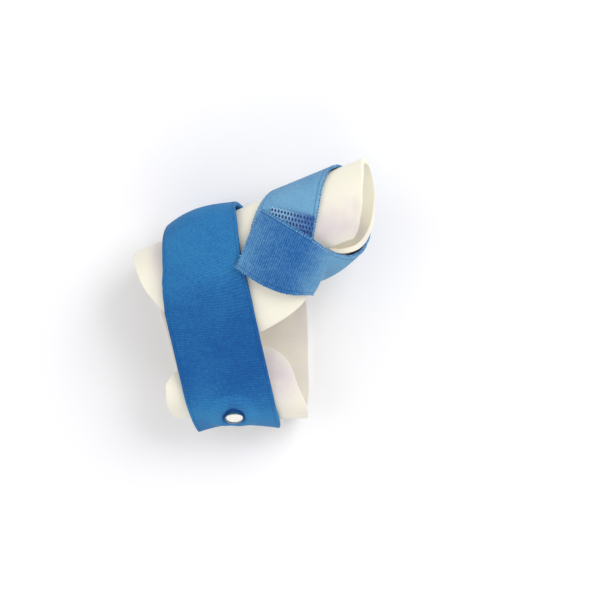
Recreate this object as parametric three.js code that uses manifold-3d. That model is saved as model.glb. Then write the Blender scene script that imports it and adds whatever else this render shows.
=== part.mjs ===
// Hand-based thumb splint: one sheet of white thermoplastic, moulded over a hand form, with two blue straps.
// The palm faces up, the back of the splint rests on the table, and the fingers would point along +X.
// Millimetres. The origin is at the middle of the overall box, on the surface that the splint rests on.
import * as THREE from "three";
import { mergeVertices } from "three/addons/utils/BufferGeometryUtils.js";
import Module from "manifold-3d";

const wasm = await Module();
wasm.setup();

const DEGREE = Math.PI / 180;

// Sizes of the moulded sheet
const SHEET = 2.4; // thickness of the thermoplastic
const RADIAL_LENGTH = 107; // straight border from the wrist corner to the thumb rim
const HAND_BREADTH = 73.4; // from the wrist corner of that border across to the ulnar border
const THUMB_ANGLE = 21.8 * DEGREE; // thumb axis from the hand's long axis, seen from the palm
const THUMB_RISE = 11.9 * DEGREE; // thumb axis above the back of the hand
const WRIST_HEIGHT = 21.5; // thumb axis above the table at the wrist corner
const THUMB_RADIUS = 21.5; // outside radius over the thumb's metacarpal, the widest place
const PALM_WIDTH = 53.2; // near panel from the radial border to its palm edge, where it is widest
const ULNAR_RADIUS = 16.5; // bend round the little finger side
const WING_REACH = 18.3; // flat of the hypothenar wing past that bend
const WING_RADIUS = 70; // slight curve of the wing towards the palm
const KNUCKLE_RADIUS = 12; // roll from the back of the hand up to the thumb
const KNUCKLE_INSET = 11.3; // centre of that roll from the wrist corner, across the hand
const TUCK_END = 425 * DEGREE; // where the web flap ends under the thumb wrap
const TUCK_GAP = 0.5; // between the two layers of the thumb wrap

// Sizes of the straps and their fittings
const WRIST_STRAP_WIDTH = 37;
const WRIST_STRAP_THICKNESS = 2.2;
const THUMB_STRAP_WIDTH = 26.5;
const THUMB_STRAP_THICKNESS = 1.4;
const SEAT_GAP = 0.55; // between a strap and what it lies on
const LAYER_GAP = 0.42; // between flat layers of strap and hook tape
const HOOK_THICKNESS = 1.1;
const STRAP_DOME = 5.2; // how far the wrist strap stands off the radial border
const DOME_FACING = 158; // degrees that the middle of that dome faces
const DOME_SPREAD = 30; // degrees over which it fades
const DOME_FALL = { middle: -0.1, fall: 0.75 }; // side where it is highest, and its fall towards the edges
const RIVET_HEAD_RADIUS = 4.2;
const RIVET_HEAD_HEIGHT = 1;
const RIVET_SHANK_RADIUS = 2;
const RIVET_TAIL_RADIUS = 3.6;
const RIVET_TAIL_HEIGHT = 0.7;
const RIVET_CLEARANCE = 0.3;

// The form under the near panel and thumb wrap, along the radial border.
// along: share of RADIAL_LENGTH. radius: share of THUMB_RADIUS. flatness: its radius past the top.
const THUMB_FORM = [
  { along: -0.12, radius: 0.875, flatness: 2.9 },
  { along: 0.0, radius: 0.885, flatness: 2.9 },
  { along: 0.28, radius: 1.0, flatness: 2.9 },
  { along: 0.5, radius: 0.975, flatness: 2.75 },
  { along: 0.617, radius: 0.905, flatness: 1.75 },
  { along: 0.7, radius: 0.85, flatness: 1.05 },
  { along: 0.84, radius: 0.828, flatness: 1.0 },
  { along: 1.0, radius: 0.8, flatness: 1.0 },
];

// Rows of the sheet run across it: 0 wing edge, 1 top of the ulnar bend, 2 its foot, 3 foot of the knuckle
// roll, 4 and 5 ends of the slope, 6 radial border, 7 top of the thumb, 8 palm edge.
const FACETS = [4, 10, 3, 3, 3, 4, 6, 5];
const SLOPE_END = 5;
const PALM_EDGE = 8;

// Wrist-side edge of the sheet, as a share of RADIAL_LENGTH.
const WRIST_EDGE = [
  { row: 0, along: -0.012 },
  { row: 0.5, along: -0.056 },
  { row: 1, along: -0.09 },
  { row: 1.2, along: -0.116 },
  { row: 1.5, along: -0.109 },
  { row: 2, along: -0.05 },
  { row: 3, along: 0.0 },
  { row: 4, along: 0.025 },
  { row: 5, along: 0.012 },
  { row: 6, along: 0.0 },
  { row: 6.3, along: -0.02 },
  { row: 6.75, along: -0.026 },
  { row: 7, along: -0.018 },
  { row: 8, along: 0.015 },
];

// Finger-side edge, from the wing across the back to the web notch.
const FINGER_EDGE = [
  { row: 0, along: 0.377 },
  { row: 0.35, along: 0.407 },
  { row: 1, along: 0.405 },
  { row: 1.3, along: 0.402 },
  { row: 1.5, along: 0.388 },
  { row: 1.7, along: 0.398 },
  { row: 2, along: 0.448 },
  { row: 3, along: 0.585 },
  { row: 4, along: 0.59 },
  { row: 4.67, along: 0.603 },
  { row: 5, along: 0.617 },
];
const WEB = 0.617; // where the thumb wrap starts, as a share of RADIAL_LENGTH

// Rim of the thumb wrap over the thumb.
const THUMB_RIM = [
  { row: 5, along: 1.0 },
  { row: 5.5, along: 1.0 },
  { row: 6, along: 0.982 },
  { row: 6.5, along: 0.957 },
  { row: 7, along: 0.909 },
  { row: 7.5, along: 0.876 },
  { row: 7.8, along: 0.853 },
  { row: 8, along: 0.826 },
];

// Web flap under the thumb. share: from the back of the thumb round to its tucked end.
// tuck: how far it has moved in to pass under the near panel.
const WEB_FLAP = [
  { share: 0, wrist: 0.617, rim: 1.0, tuck: 0 },
  { share: 0.07, wrist: 0.655, rim: 0.995, tuck: 0 },
  { share: 0.15, wrist: 0.685, rim: 0.985, tuck: 0 },
  { share: 0.33, wrist: 0.7, rim: 0.942, tuck: 0 },
  { share: 0.44, wrist: 0.69, rim: 0.907, tuck: 0 },
  { share: 0.58, wrist: 0.665, rim: 0.853, tuck: 0.03 },
  { share: 0.66, wrist: 0.65, rim: 0.815, tuck: 0.1 },
  { share: 0.75, wrist: 0.64, rim: 0.762, tuck: 0.35 },
  { share: 0.8, wrist: 0.637, rim: 0.74, tuck: 0.65 },
  { share: 0.84, wrist: 0.635, rim: 0.727, tuck: 0.87 },
  { share: 0.89, wrist: 0.635, rim: 0.715, tuck: 1 },
  { share: 1, wrist: 0.635, rim: 0.7, tuck: 1 },
];
const WEB_FLAP_FACETS = 15;

// Palm edge of the near panel and lap edge of the thumb wrap. width: share of PALM_WIDTH.
const PALM_OUTLINE = [
  { along: 0.015, width: 0.547 },
  { along: 0.075, width: 0.765 },
  { along: 0.143, width: 0.91 },
  { along: 0.234, width: 0.99 },
  { along: 0.29, width: 1.0 },
  { along: 0.402, width: 0.981 },
  { along: 0.503, width: 0.938 },
  { along: 0.57, width: 0.875 },
  { along: 0.617, width: 0.78 },
  { along: 0.664, width: 0.655 },
  { along: 0.705, width: 0.588 },
  { along: 0.776, width: 0.573 },
  { along: 0.84, width: 0.58 },
];

// Edge of the hypothenar wing, from its wrist corner to its finger corner. reach: share of WING_REACH.
const WING_OUTLINE = [
  { share: 0, reach: 0.43 },
  { share: 0.15, reach: 0.64 },
  { share: 0.42, reach: 0.885 },
  { share: 0.73, reach: 1.0 },
  { share: 0.9, reach: 1.0 },
  { share: 1, reach: 0.9 },
];
const HAND_COLUMNS = 16;
const WRAP_COLUMNS = 8;

// Wrist strap, by place: 0 riveted end, 1 and 2 ends of its span over the palm, 3 top of the thumb, 4 start
// of the slope to the back, 5 foot of that slope.
// along: its middle, as a share of RADIAL_LENGTH. spread: how much of that border it covers, in strap widths.
const WRIST_STRAP = [
  { place: 0, along: 0.116, spread: 0.945 },
  { place: 0.5, along: 0.123, spread: 0.955 },
  { place: 1, along: 0.133, spread: 0.955 },
  { place: 2, along: 0.19, spread: 0.962 },
  { place: 3, along: 0.2235, spread: 0.972 },
  { place: 3.16, along: 0.244, spread: 0.95 },
  { place: 3.32, along: 0.264, spread: 0.935 },
  { place: 3.65, along: 0.299, spread: 0.83 },
  { place: 4, along: 0.336, spread: 0.85 },
  { place: 5, along: 0.356, spread: 0.9 },
];
const RIVET_PLACE = 0.57; // where the rivet holds it
const STRAP_END_FACING = -8; // degrees from the ulnar side that its riveted end faces
const STRAP_STOP = 4.5; // place of its free end, on the hook pad
const HOOK_PAD = { start: 3.78, end: 4.38 }; // places where that pad starts and ends
const PAD_RAMP = 0.25; // places over which the strap rises on to it
const HOOK_PAD_MARGIN = 2; // strap that the pad leaves bare at its edges
const END_FLARES = { wristSide: 4.3, fingerSide: 2.0, power: 1.6 }; // corners of the riveted end off the bend
const WRIST_STRAP_FIBRES = 8;

// Thumb strap, by row: 0 near its hidden end on top of the thumb, then round the thumb, up through the web
// and back over its start, to 27 at its lapped end. wrist and finger: where its two edges lie, as shares of
// RADIAL_LENGTH. wristTurn and fingerTurn: degrees that they have gone round the thumb.
const THUMB_STRAP = [
  { row: 0, wrist: 0.404, wristTurn: 74, finger: 0.636, fingerTurn: 42 },
  { row: 1, wrist: 0.42, wristTurn: 88, finger: 0.652, fingerTurn: 54 },
  { row: 2, wrist: 0.458, wristTurn: 113, finger: 0.669, fingerTurn: 68 },
  { row: 3, wrist: 0.507, wristTurn: 134, finger: 0.707, fingerTurn: 86 },
  { row: 4, wrist: 0.551, wristTurn: 152, finger: 0.748, fingerTurn: 107 },
  { row: 5, wrist: 0.581, wristTurn: 165, finger: 0.781, fingerTurn: 126 },
  { row: 6, wrist: 0.606, wristTurn: 178, finger: 0.815, fingerTurn: 146 },
  { row: 7, wrist: 0.634, wristTurn: 194, finger: 0.845, fingerTurn: 166 },
  { row: 8, wrist: 0.658, wristTurn: 209, finger: 0.878, fingerTurn: 186 },
  { row: 9, wrist: 0.672, wristTurn: 221, finger: 0.903, fingerTurn: 206 },
  { row: 10, wrist: 0.679, wristTurn: 232, finger: 0.919, fingerTurn: 227 },
  { row: 11, wrist: 0.682, wristTurn: 243, finger: 0.925, fingerTurn: 246 },
  { row: 12, wrist: 0.683, wristTurn: 256, finger: 0.927, fingerTurn: 266 },
  { row: 13, wrist: 0.681, wristTurn: 269, finger: 0.924, fingerTurn: 285 },
  { row: 14, wrist: 0.675, wristTurn: 281, finger: 0.914, fingerTurn: 303 },
  { row: 15, wrist: 0.668, wristTurn: 292, finger: 0.895, fingerTurn: 319 },
  { row: 16, wrist: 0.657, wristTurn: 304, finger: 0.869, fingerTurn: 333 },
  { row: 17, wrist: 0.642, wristTurn: 318, finger: 0.847, fingerTurn: 347 },
  { row: 18, wrist: 0.627, wristTurn: 334, finger: 0.82, fingerTurn: 360 },
  { row: 19, wrist: 0.614, wristTurn: 350, finger: 0.79, fingerTurn: 372 },
  { row: 20, wrist: 0.604, wristTurn: 366, finger: 0.765, fingerTurn: 385 },
  { row: 21, wrist: 0.594, wristTurn: 382, finger: 0.74, fingerTurn: 400 },
  { row: 22, wrist: 0.562, wristTurn: 394, finger: 0.712, fingerTurn: 416 },
  { row: 23, wrist: 0.52, wristTurn: 402.5, finger: 0.679, fingerTurn: 434 },
  { row: 24, wrist: 0.476, wristTurn: 410, finger: 0.65, fingerTurn: 446 },
  { row: 25, wrist: 0.435, wristTurn: 419, finger: 0.613, fingerTurn: 460 },
  { row: 26, wrist: 0.391, wristTurn: 432, finger: 0.573, fingerTurn: 475 },
  { row: 27, wrist: 0.356, wristTurn: 445, finger: 0.536, fingerTurn: 489 },
];

// How far it stands off the form, in layers of strap and hook tape: at its edges, and the crown between them.
const THUMB_STRAP_LIFT = [
  { row: 0, wrist: 0, finger: 0, crown: 0 },
  { row: 13, wrist: 0, finger: 0, crown: 0 },
  { row: 14, wrist: 0, finger: 0, crown: 0.05 },
  { row: 15, wrist: 0, finger: 0, crown: 0.2 },
  { row: 16, wrist: 0.05, finger: 0, crown: 0.45 },
  { row: 17, wrist: 0.1, finger: 0, crown: 0.7 },
  { row: 18, wrist: 0.1, finger: 0, crown: 0.9 },
  { row: 19, wrist: 0.05, finger: 0.05, crown: 0.95 },
  { row: 20, wrist: 0, finger: 0.08, crown: 0.8 },
  { row: 21, wrist: 0.05, finger: 0.3, crown: 0.55 },
  { row: 22, wrist: 0.6, finger: 0.8, crown: 0.22 },
  { row: 23, wrist: 1, finger: 1, crown: 0 },
  { row: 24, wrist: 1, finger: 1, crown: 0 },
];
const THUMB_STRAP_LAID = 26.5; // width of strap that those two edges stand for
const THUMB_STRAP_START = 0.1; // row of its hidden end
const THUMB_STRAP_STOP = 27; // row of its lapped end
const HOOK_PATCH = { start: 1, end: 3.4, wristSide: -0.5, fingerSide: 0.94 }; // rows, and edges by side
const THUMB_STRAP_STEPS = 46;
const HOOK_PATCH_STEPS = 5;
const THUMB_STRAP_FIBRES = 6;

// Colours
const SPLINT_WHITE = 0xeeebdc;
const STRAP_BLUE = 0x1f6fae;
const WEBBING_BLUE = 0x3f86bd;
const HOOK_BLUE = 0x2a67a3;
const RIVET_WHITE = 0xefeee4;

// One column of a table at a place between its rows, on a smooth curve through them.
function read(table, key, column, place) {
  const last = table.length - 1;
  const at = Math.min(Math.max(place, table[0][key]), table[last][key]);
  let i = 0;
  while (i < last - 1 && at > table[i + 1][key]) i++;
  const slope = (j) => {
    const from = table[Math.max(j - 1, 0)];
    const to = table[Math.min(j + 1, last)];
    return (to[column] - from[column]) / (to[key] - from[key]);
  };
  const span = table[i + 1][key] - table[i][key];
  const t = (at - table[i][key]) / span;
  const start = table[i][column];
  const end = table[i + 1][column];
  return (
    start * (1 + 2 * t) * (1 - t) ** 2 +
    slope(i) * span * t * (1 - t) ** 2 +
    end * t * t * (3 - 2 * t) +
    slope(i + 1) * span * t * t * (t - 1)
  );
}

const mix = THREE.MathUtils.lerp;

// A place is given by how far it is along the radial border, how far across from it, and its height.
function toSpace(along, across, height) {
  const cos = Math.cos(THUMB_ANGLE);
  const sin = Math.sin(THUMB_ANGLE);
  return new THREE.Vector3(along * cos + across * sin, along * sin - across * cos, height);
}

// Circles that the section follows at one place along the border: centre across, centre height, radius.
function circlesAt(along) {
  const share = along / RADIAL_LENGTH;
  const radius = THUMB_RADIUS * read(THUMB_FORM, "along", "radius", share);
  const palmRadius = radius * read(THUMB_FORM, "along", "flatness", share);
  const shift = along * Math.tan(THUMB_ANGLE);
  const thumb = { across: radius, height: WRIST_HEIGHT + along * Math.tan(THUMB_RISE), radius };
  const palm = { across: radius, height: thumb.height + radius - palmRadius, radius: palmRadius };
  const ulnar = {
    across: shift + HAND_BREADTH / Math.cos(THUMB_ANGLE) - ULNAR_RADIUS,
    height: ULNAR_RADIUS,
    radius: ULNAR_RADIUS,
  };
  const knuckle = {
    across: shift + KNUCKLE_INSET / Math.cos(THUMB_ANGLE),
    height: KNUCKLE_RADIUS,
    radius: KNUCKLE_RADIUS,
  };
  return { thumb, palm, ulnar, knuckle };
}

// A point off a circle, where the surface faces the given way.
function onCircle(circle, facing, lift = 0) {
  return {
    across: circle.across + (circle.radius + lift) * Math.cos(facing),
    height: circle.height + (circle.radius + lift) * Math.sin(facing),
  };
}

// Which way the straight tangent outside two circles faces, on the side that "turn" gives.
function tangentFacing(from, to, turn) {
  const across = to.across - from.across;
  const height = to.height - from.height;
  const lean = Math.acos((from.radius - to.radius) / Math.hypot(across, height));
  return THREE.MathUtils.euclideanModulo(Math.atan2(height, across) + turn * lean, 2 * Math.PI);
}

// Where the slope from the knuckle roll meets the thumb, between the back and the radial border.
function slopeFacing(circles) {
  return tangentFacing(circles.knuckle, circles.thumb, 1);
}

// How far the near panel turns past the top of the thumb before its palm edge.
function palmTurn(along) {
  const { thumb, palm } = circlesAt(along);
  const width = PALM_WIDTH * read(PALM_OUTLINE, "along", "width", along / RADIAL_LENGTH);
  return Math.asin(Math.min((width - thumb.radius) / palm.radius, 0.95));
}

// Outer surface of the sheet on one row. wing and palm say how far those two edges reach at this column.
function sheetPoint(row, along, wing, palm) {
  const circles = circlesAt(along);
  const band = Math.min(Math.floor(row), FACETS.length - 1);
  const share = row - band;
  const slope = slopeFacing(circles);
  const slopeStart = onCircle(circles.knuckle, slope);
  const slopeEnd = onCircle(circles.thumb, slope);
  const turn = (1 - share) * (wing / WING_RADIUS);
  const places = [
    () => ({
      across: circles.ulnar.across - WING_RADIUS * Math.sin(turn),
      height: 2 * ULNAR_RADIUS - WING_RADIUS * (1 - Math.cos(turn)),
    }),
    () => onCircle(circles.ulnar, Math.PI * (0.5 - share)),
    () => ({ across: mix(circles.ulnar.across, circles.knuckle.across, share), height: 0 }),
    () => onCircle(circles.knuckle, mix(1.5 * Math.PI, slope, share)),
    () => ({
      across: mix(slopeStart.across, slopeEnd.across, share),
      height: mix(slopeStart.height, slopeEnd.height, share),
    }),
    () => onCircle(circles.thumb, mix(slope, Math.PI, share)),
    () => onCircle(circles.thumb, Math.PI * (1 - share / 2)),
    () => onCircle(circles.palm, Math.PI / 2 - palm * share),
  ];
  const place = places[band]();
  return toSpace(along, place.across, place.height);
}

// Outer surface of the web flap, which goes on round the thumb from the end of the slope.
function flapPoint(share, along) {
  const circles = circlesAt(along);
  const tuck = read(WEB_FLAP, "share", "tuck", share) * (SHEET + TUCK_GAP);
  const place = onCircle(circles.thumb, mix(slopeFacing(circles), TUCK_END, share), -tuck);
  return toSpace(along, place.across, place.height);
}

// A closed body from four-cornered cells of a surface, given a thickness along the surface's own normals.
function thicken(points, cells, thickness) {
  const normals = points.map(() => new THREE.Vector3());
  for (const [a, b, c, d] of cells) {
    const normal = new THREE.Vector3()
      .subVectors(points[c], points[a])
      .cross(new THREE.Vector3().subVectors(points[d], points[b]));
    for (const corner of [a, b, c, d]) normals[corner].add(normal);
  }
  const moved = points.map((p, i) => p.clone().addScaledVector(normals[i].normalize(), thickness));
  const outer = thickness > 0 ? moved : points;
  const inner = thickness > 0 ? points : moved;
  const count = points.length;
  const faces = [];
  const edges = new Map();
  const quad = (a, b, c, d) => faces.push(a, b, c, a, c, d);
  for (const [a, b, c, d] of cells) {
    quad(a, b, c, d);
    quad(count + d, count + c, count + b, count + a);
    for (const [from, to] of [[a, b], [b, c], [c, d], [d, a]]) {
      if (!edges.delete(`${to} ${from}`)) edges.set(`${from} ${to}`, [from, to]);
    }
  }
  for (const [from, to] of edges.values()) quad(to, from, count + from, count + to);
  const geometry = new THREE.BufferGeometry();
  const flat = [...outer, ...inner].flatMap((p) => p.toArray());
  geometry.setAttribute("position", new THREE.Float32BufferAttribute(flat, 3));
  geometry.setIndex(faces);
  return geometry;
}

// The points and cells of a plain rectangular grid, from a function of its column and row.
function grid(columns, rows, pointAt) {
  const points = [];
  const cells = [];
  for (let row = 0; row <= rows; row++) {
    for (let column = 0; column <= columns; column++) points.push(pointAt(column, row));
  }
  const at = (column, row) => row * (columns + 1) + column;
  for (let row = 0; row < rows; row++) {
    for (let column = 0; column < columns; column++) {
      cells.push([at(column, row), at(column + 1, row), at(column + 1, row + 1), at(column, row + 1)]);
    }
  }
  return { points, cells };
}

function toSolid(geometry) {
  const bare = new THREE.BufferGeometry();
  bare.setAttribute("position", geometry.getAttribute("position"));
  if (geometry.index) bare.setIndex(geometry.index);
  const merged = mergeVertices(bare, 1e-4);
  return new wasm.Manifold(
    new wasm.Mesh({
      numProp: 3,
      vertProperties: new Float32Array(merged.attributes.position.array),
      triVerts: new Uint32Array(merged.index.array),
    }),
  );
}

function toGeometry(solid) {
  const mesh = solid.getMesh();
  const geometry = new THREE.BufferGeometry();
  geometry.setAttribute("position", new THREE.Float32BufferAttribute(mesh.vertProperties, 3));
  geometry.setIndex(new THREE.Uint32BufferAttribute(mesh.triVerts, 1));
  return geometry;
}

// Row values of the sheet, with the facets of each band spread evenly.
const SHEET_ROWS = [0, ...FACETS.flatMap((facets, band) =>
  Array.from({ length: facets }, (_, i) => band + (i + 1) / facets))];

// The moulded sheet: the hand part and the thumb wrap share the rows over the thumb, where the web flap
// leaves them.
function makeSheet() {
  const points = [];
  const cells = [];
  const known = new Map();
  const add = (name, makePoint) => {
    if (!known.has(name)) {
      known.set(name, points.length);
      points.push(makePoint());
    }
    return known.get(name);
  };
  const onSheet = (rowIndex, column) =>
    add(`sheet ${rowIndex} ${column}`, () => {
      const row = SHEET_ROWS[rowIndex];
      const share = Math.min(column / HAND_COLUMNS, 1);
      const wrap = Math.max(column - HAND_COLUMNS, 0) / WRAP_COLUMNS;
      const wristEdge = read(WRIST_EDGE, "row", "along", row);
      const fingerEdge = row < SLOPE_END ? read(FINGER_EDGE, "row", "along", row) : WEB;
      const rim = read(THUMB_RIM, "row", "along", row);
      const place = wrap > 0 ? mix(WEB, rim, wrap) : mix(wristEdge, fingerEdge, share);
      const edgeStart = mix(read(WRIST_EDGE, "row", "along", PALM_EDGE), WEB, share);
      const edgeRim = read(THUMB_RIM, "row", "along", PALM_EDGE);
      const edgeAlong = RADIAL_LENGTH * (wrap > 0 ? mix(WEB, edgeRim, wrap) : edgeStart);
      const wing = WING_REACH * read(WING_OUTLINE, "share", "reach", share);
      return sheetPoint(row, RADIAL_LENGTH * place, wing, palmTurn(edgeAlong));
    });
  const onFlap = (step, column) => {
    if (step === 0) return onSheet(SHEET_ROWS.indexOf(SLOPE_END), column);
    return add(`flap ${step} ${column}`, () => {
      const share = step / WEB_FLAP_FACETS;
      const wrist = read(WEB_FLAP, "share", "wrist", share);
      const rim = read(WEB_FLAP, "share", "rim", share);
      return flapPoint(share, RADIAL_LENGTH * mix(wrist, rim, (column - HAND_COLUMNS) / WRAP_COLUMNS));
    });
  };
  for (let column = 0; column < HAND_COLUMNS + WRAP_COLUMNS; column++) {
    const wrap = column >= HAND_COLUMNS;
    for (let row = wrap ? SHEET_ROWS.indexOf(SLOPE_END) : 0; row < SHEET_ROWS.length - 1; row++) {
      const near = [onSheet(row, column), onSheet(row + 1, column)];
      cells.push([...near, onSheet(row + 1, column + 1), onSheet(row, column + 1)]);
    }
    for (let step = 0; wrap && step < WEB_FLAP_FACETS; step++) {
      const near = [onFlap(step + 1, column), onFlap(step, column)];
      cells.push([...near, onFlap(step, column + 1), onFlap(step + 1, column + 1)]);
    }
  }
  return thicken(points, cells, -SHEET);
}

// Where the middle of the wrist strap leaves the ulnar bend for the near panel: the way it faces there.
function palmSpanFacing(along) {
  const circles = circlesAt(along);
  return tangentFacing(circles.ulnar, circles.palm, -1);
}

function strapAlong(place, side) {
  const half = (WRIST_STRAP_WIDTH / 2) * read(WRIST_STRAP, "place", "spread", place);
  return RADIAL_LENGTH * read(WRIST_STRAP, "place", "along", place) + side * half;
}

// Inner face of the wrist strap. It bends round the ulnar side, runs straight over the palm, lies on the near
// panel and the top of the thumb, and stands off the radial border in a dome.
function wristStrapPoint(side, place) {
  const band = Math.min(Math.floor(place), 4);
  const share = place - band;
  const span = palmSpanFacing(strapAlong(1.5, side));
  const placed = (circle, along, facing, lift) => {
    const spot = onCircle(circle, facing, SEAT_GAP + lift);
    return toSpace(along, spot.across, spot.height);
  };
  const along = strapAlong(place, side);
  const circles = circlesAt(along);
  if (band === 0) {
    const facing = mix(STRAP_END_FACING * DEGREE, span, share);
    const flare = side < 0 ? END_FLARES.wristSide : END_FLARES.fingerSide;
    const toEnd = Math.max(0, (RIVET_PLACE - place) / RIVET_PLACE);
    return placed(circles.ulnar, along, facing, flare * Math.abs(side) ** END_FLARES.power * toEnd ** 2);
  }
  if (band === 1) {
    const start = placed(circlesAt(strapAlong(1, side)).ulnar, strapAlong(1, side), span, 0);
    const end = placed(circlesAt(strapAlong(2, side)).palm, strapAlong(2, side), span, 0);
    return start.lerp(end, share);
  }
  if (band === 2) return placed(circles.palm, along, mix(span, Math.PI / 2, share), 0);
  const onPad = THREE.MathUtils.smoothstep(place, HOOK_PAD.start - PAD_RAMP, HOOK_PAD.start);
  const padLift = (HOOK_THICKNESS + LAYER_GAP) * onPad;
  if (band === 4) return slopePoint(along, share, SEAT_GAP + padLift);
  const facing = mix(90, slopeFacing(circles) / DEGREE, share);
  const swell = Math.exp(-(((facing - DOME_FACING) / DOME_SPREAD) ** 2));
  const crown = Math.max(0, 1 - DOME_FALL.fall * (side - DOME_FALL.middle) ** 2);
  return placed(circles.thumb, along, facing * DEGREE, STRAP_DOME * swell * crown + padLift);
}

// A point off the straight slope from the thumb to the knuckle roll.
function slopePoint(along, share, lift) {
  const circles = circlesAt(along);
  const facing = slopeFacing(circles);
  const start = onCircle(circles.thumb, facing, lift);
  const end = onCircle(circles.knuckle, facing, lift);
  return toSpace(along, mix(start.across, end.across, share), mix(start.height, end.height, share));
}

// A hook pad stuck to the sheet on the back of the radial border. The wrist strap's free end presses on it.
function makeWristHookPad() {
  const { points, cells } = grid(6, 6, (column, row) => {
    const place = mix(HOOK_PAD.start, HOOK_PAD.end, row / 6);
    const side = ((2 * column) / 6 - 1) * (1 - (2 * HOOK_PAD_MARGIN) / WRIST_STRAP_WIDTH);
    const along = strapAlong(place, side);
    if (place >= 4) return slopePoint(along, place - 4, SEAT_GAP);
    const circles = circlesAt(along);
    const spot = onCircle(circles.thumb, mix(Math.PI / 2, slopeFacing(circles), place - 3), SEAT_GAP);
    return toSpace(along, spot.across, spot.height);
  });
  return thicken(points, cells, HOOK_THICKNESS);
}

const WRIST_STRAP_STEPS = [9, 8, 3, 17, 3];
const WRIST_STRAP_PLACES = [0, ...WRIST_STRAP_STEPS.flatMap((steps, band) =>
  Array.from({ length: steps }, (_, i) => band + ((i + 1) / steps) * Math.min(1, STRAP_STOP - band)))];

function makeWristStrap() {
  const last = WRIST_STRAP_PLACES.length - 1;
  const { points, cells } = grid(WRIST_STRAP_FIBRES, last, (fibre, step) =>
    wristStrapPoint((2 * fibre) / WRIST_STRAP_FIBRES - 1, WRIST_STRAP_PLACES[step]));
  return thicken(points, cells, WRIST_STRAP_THICKNESS);
}

// Distance from the thumb's centre out to the sheet, or to the strap's bridge from the palm edge to the web.
function reachAround(along, turn) {
  const { thumb, palm } = circlesAt(along);
  const edge = onCircle(palm, Math.PI / 2 - palmTurn(along));
  const edgeTurn = Math.atan2(edge.height - thumb.height, edge.across - thumb.across);
  const edgeReach = Math.hypot(edge.across - thumb.across, edge.height - thumb.height);
  const web = edgeTurn - Math.acos(Math.min(1, thumb.radius / edgeReach));
  const angle = THREE.MathUtils.euclideanModulo(turn + Math.PI / 2, 2 * Math.PI) - Math.PI / 2;
  if (angle >= Math.PI / 2 || angle <= web) return thumb.radius;
  if (angle <= edgeTurn) return thumb.radius / Math.cos(angle - web);
  const drop = palm.radius - thumb.radius;
  return Math.sqrt(palm.radius ** 2 - (drop * Math.cos(angle)) ** 2) - drop * Math.sin(angle);
}

// A point at a turn round the thumb, lifted off the sheet or off the span from the palm edge to the web.
function aroundThumb(along, angle, lift) {
  const { thumb } = circlesAt(along);
  const out = reachAround(along, angle) + lift;
  return toSpace(along, thumb.across + out * Math.cos(angle), thumb.height + out * Math.sin(angle));
}

// Inner face of the thumb strap on a row. side: -1 at the wrist side edge, 1 at the finger side.
function thumbStrapPoint(row, side, lift) {
  const edge = (name) => read(THUMB_STRAP, "row", name, row);
  const off = (name) => read(THUMB_STRAP_LIFT, "row", name, row);
  const share = (1 + (side * THUMB_STRAP_WIDTH) / THUMB_STRAP_LAID) / 2;
  const along = RADIAL_LENGTH * mix(edge("wrist"), edge("finger"), share);
  const turn = mix(edge("wristTurn"), edge("fingerTurn"), share) * DEGREE;
  const layer = THUMB_STRAP_THICKNESS + HOOK_THICKNESS + 2 * LAYER_GAP;
  const edgeLift = mix(off("wrist"), off("finger"), (1 + side) / 2);
  const raised = layer * (edgeLift + off("crown") * (1 - side ** 2));
  return aroundThumb(along, turn, SEAT_GAP + lift + raised);
}

function makeThumbStrapPiece(from, to, steps, sides, lift, thickness) {
  const { points, cells } = grid(THUMB_STRAP_FIBRES, steps, (fibre, step) => {
    const side = mix(sides[0], sides[1], fibre / THUMB_STRAP_FIBRES);
    return thumbStrapPoint(mix(from, to, step / steps), side, lift);
  });
  return thicken(points, cells, thickness);
}

// The rivet stands on the ulnar bend: its frame has +Z along its axis, out of the strap, with 0 on the sheet.
function rivetFrame() {
  const along = strapAlong(RIVET_PLACE, 0);
  const angle = mix(STRAP_END_FACING * DEGREE, palmSpanFacing(strapAlong(1.5, 0)), RIVET_PLACE);
  const place = onCircle(circlesAt(along).ulnar, angle);
  const foot = toSpace(along, place.across, place.height);
  const axis = new THREE.Vector3(0, -Math.cos(angle), Math.sin(angle));
  const turn = new THREE.Quaternion().setFromUnitVectors(new THREE.Vector3(0, 0, 1), axis);
  return new THREE.Matrix4().compose(foot, turn, new THREE.Vector3(1, 1, 1));
}

// A solid of revolution round the rivet's axis, from its profile of radius and height.
function turned(profile) {
  const points = profile.map(([radius, height]) => new THREE.Vector2(radius, height));
  return new THREE.LatheGeometry(points, 20).rotateX(Math.PI / 2).applyMatrix4(rivetFrame());
}

function makeRivet() {
  const seat = SEAT_GAP + WRIST_STRAP_THICKNESS + RIVET_CLEARANCE;
  const sink = RIVET_TAIL_RADIUS ** 2 / (2 * (ULNAR_RADIUS - SHEET));
  const tail = -SHEET - sink - 2 * RIVET_CLEARANCE;
  return turned([
    [0, tail - RIVET_TAIL_HEIGHT],
    [RIVET_TAIL_RADIUS, tail - RIVET_TAIL_HEIGHT],
    [RIVET_TAIL_RADIUS, tail],
    [RIVET_SHANK_RADIUS, tail],
    [RIVET_SHANK_RADIUS, seat],
    [RIVET_HEAD_RADIUS, seat],
    [RIVET_HEAD_RADIUS, seat + RIVET_HEAD_HEIGHT * 0.35],
    [RIVET_HEAD_RADIUS * 0.8, seat + RIVET_HEAD_HEIGHT * 0.75],
    [RIVET_HEAD_RADIUS * 0.45, seat + RIVET_HEAD_HEIGHT * 0.97],
    [0, seat + RIVET_HEAD_HEIGHT],
  ]);
}

function makeRivetHole() {
  const radius = RIVET_SHANK_RADIUS + RIVET_CLEARANCE;
  const depth = 3 * SHEET;
  return turned([[0, -depth], [radius, -depth], [radius, depth], [0, depth]]);
}

const group = new THREE.Group();

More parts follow.
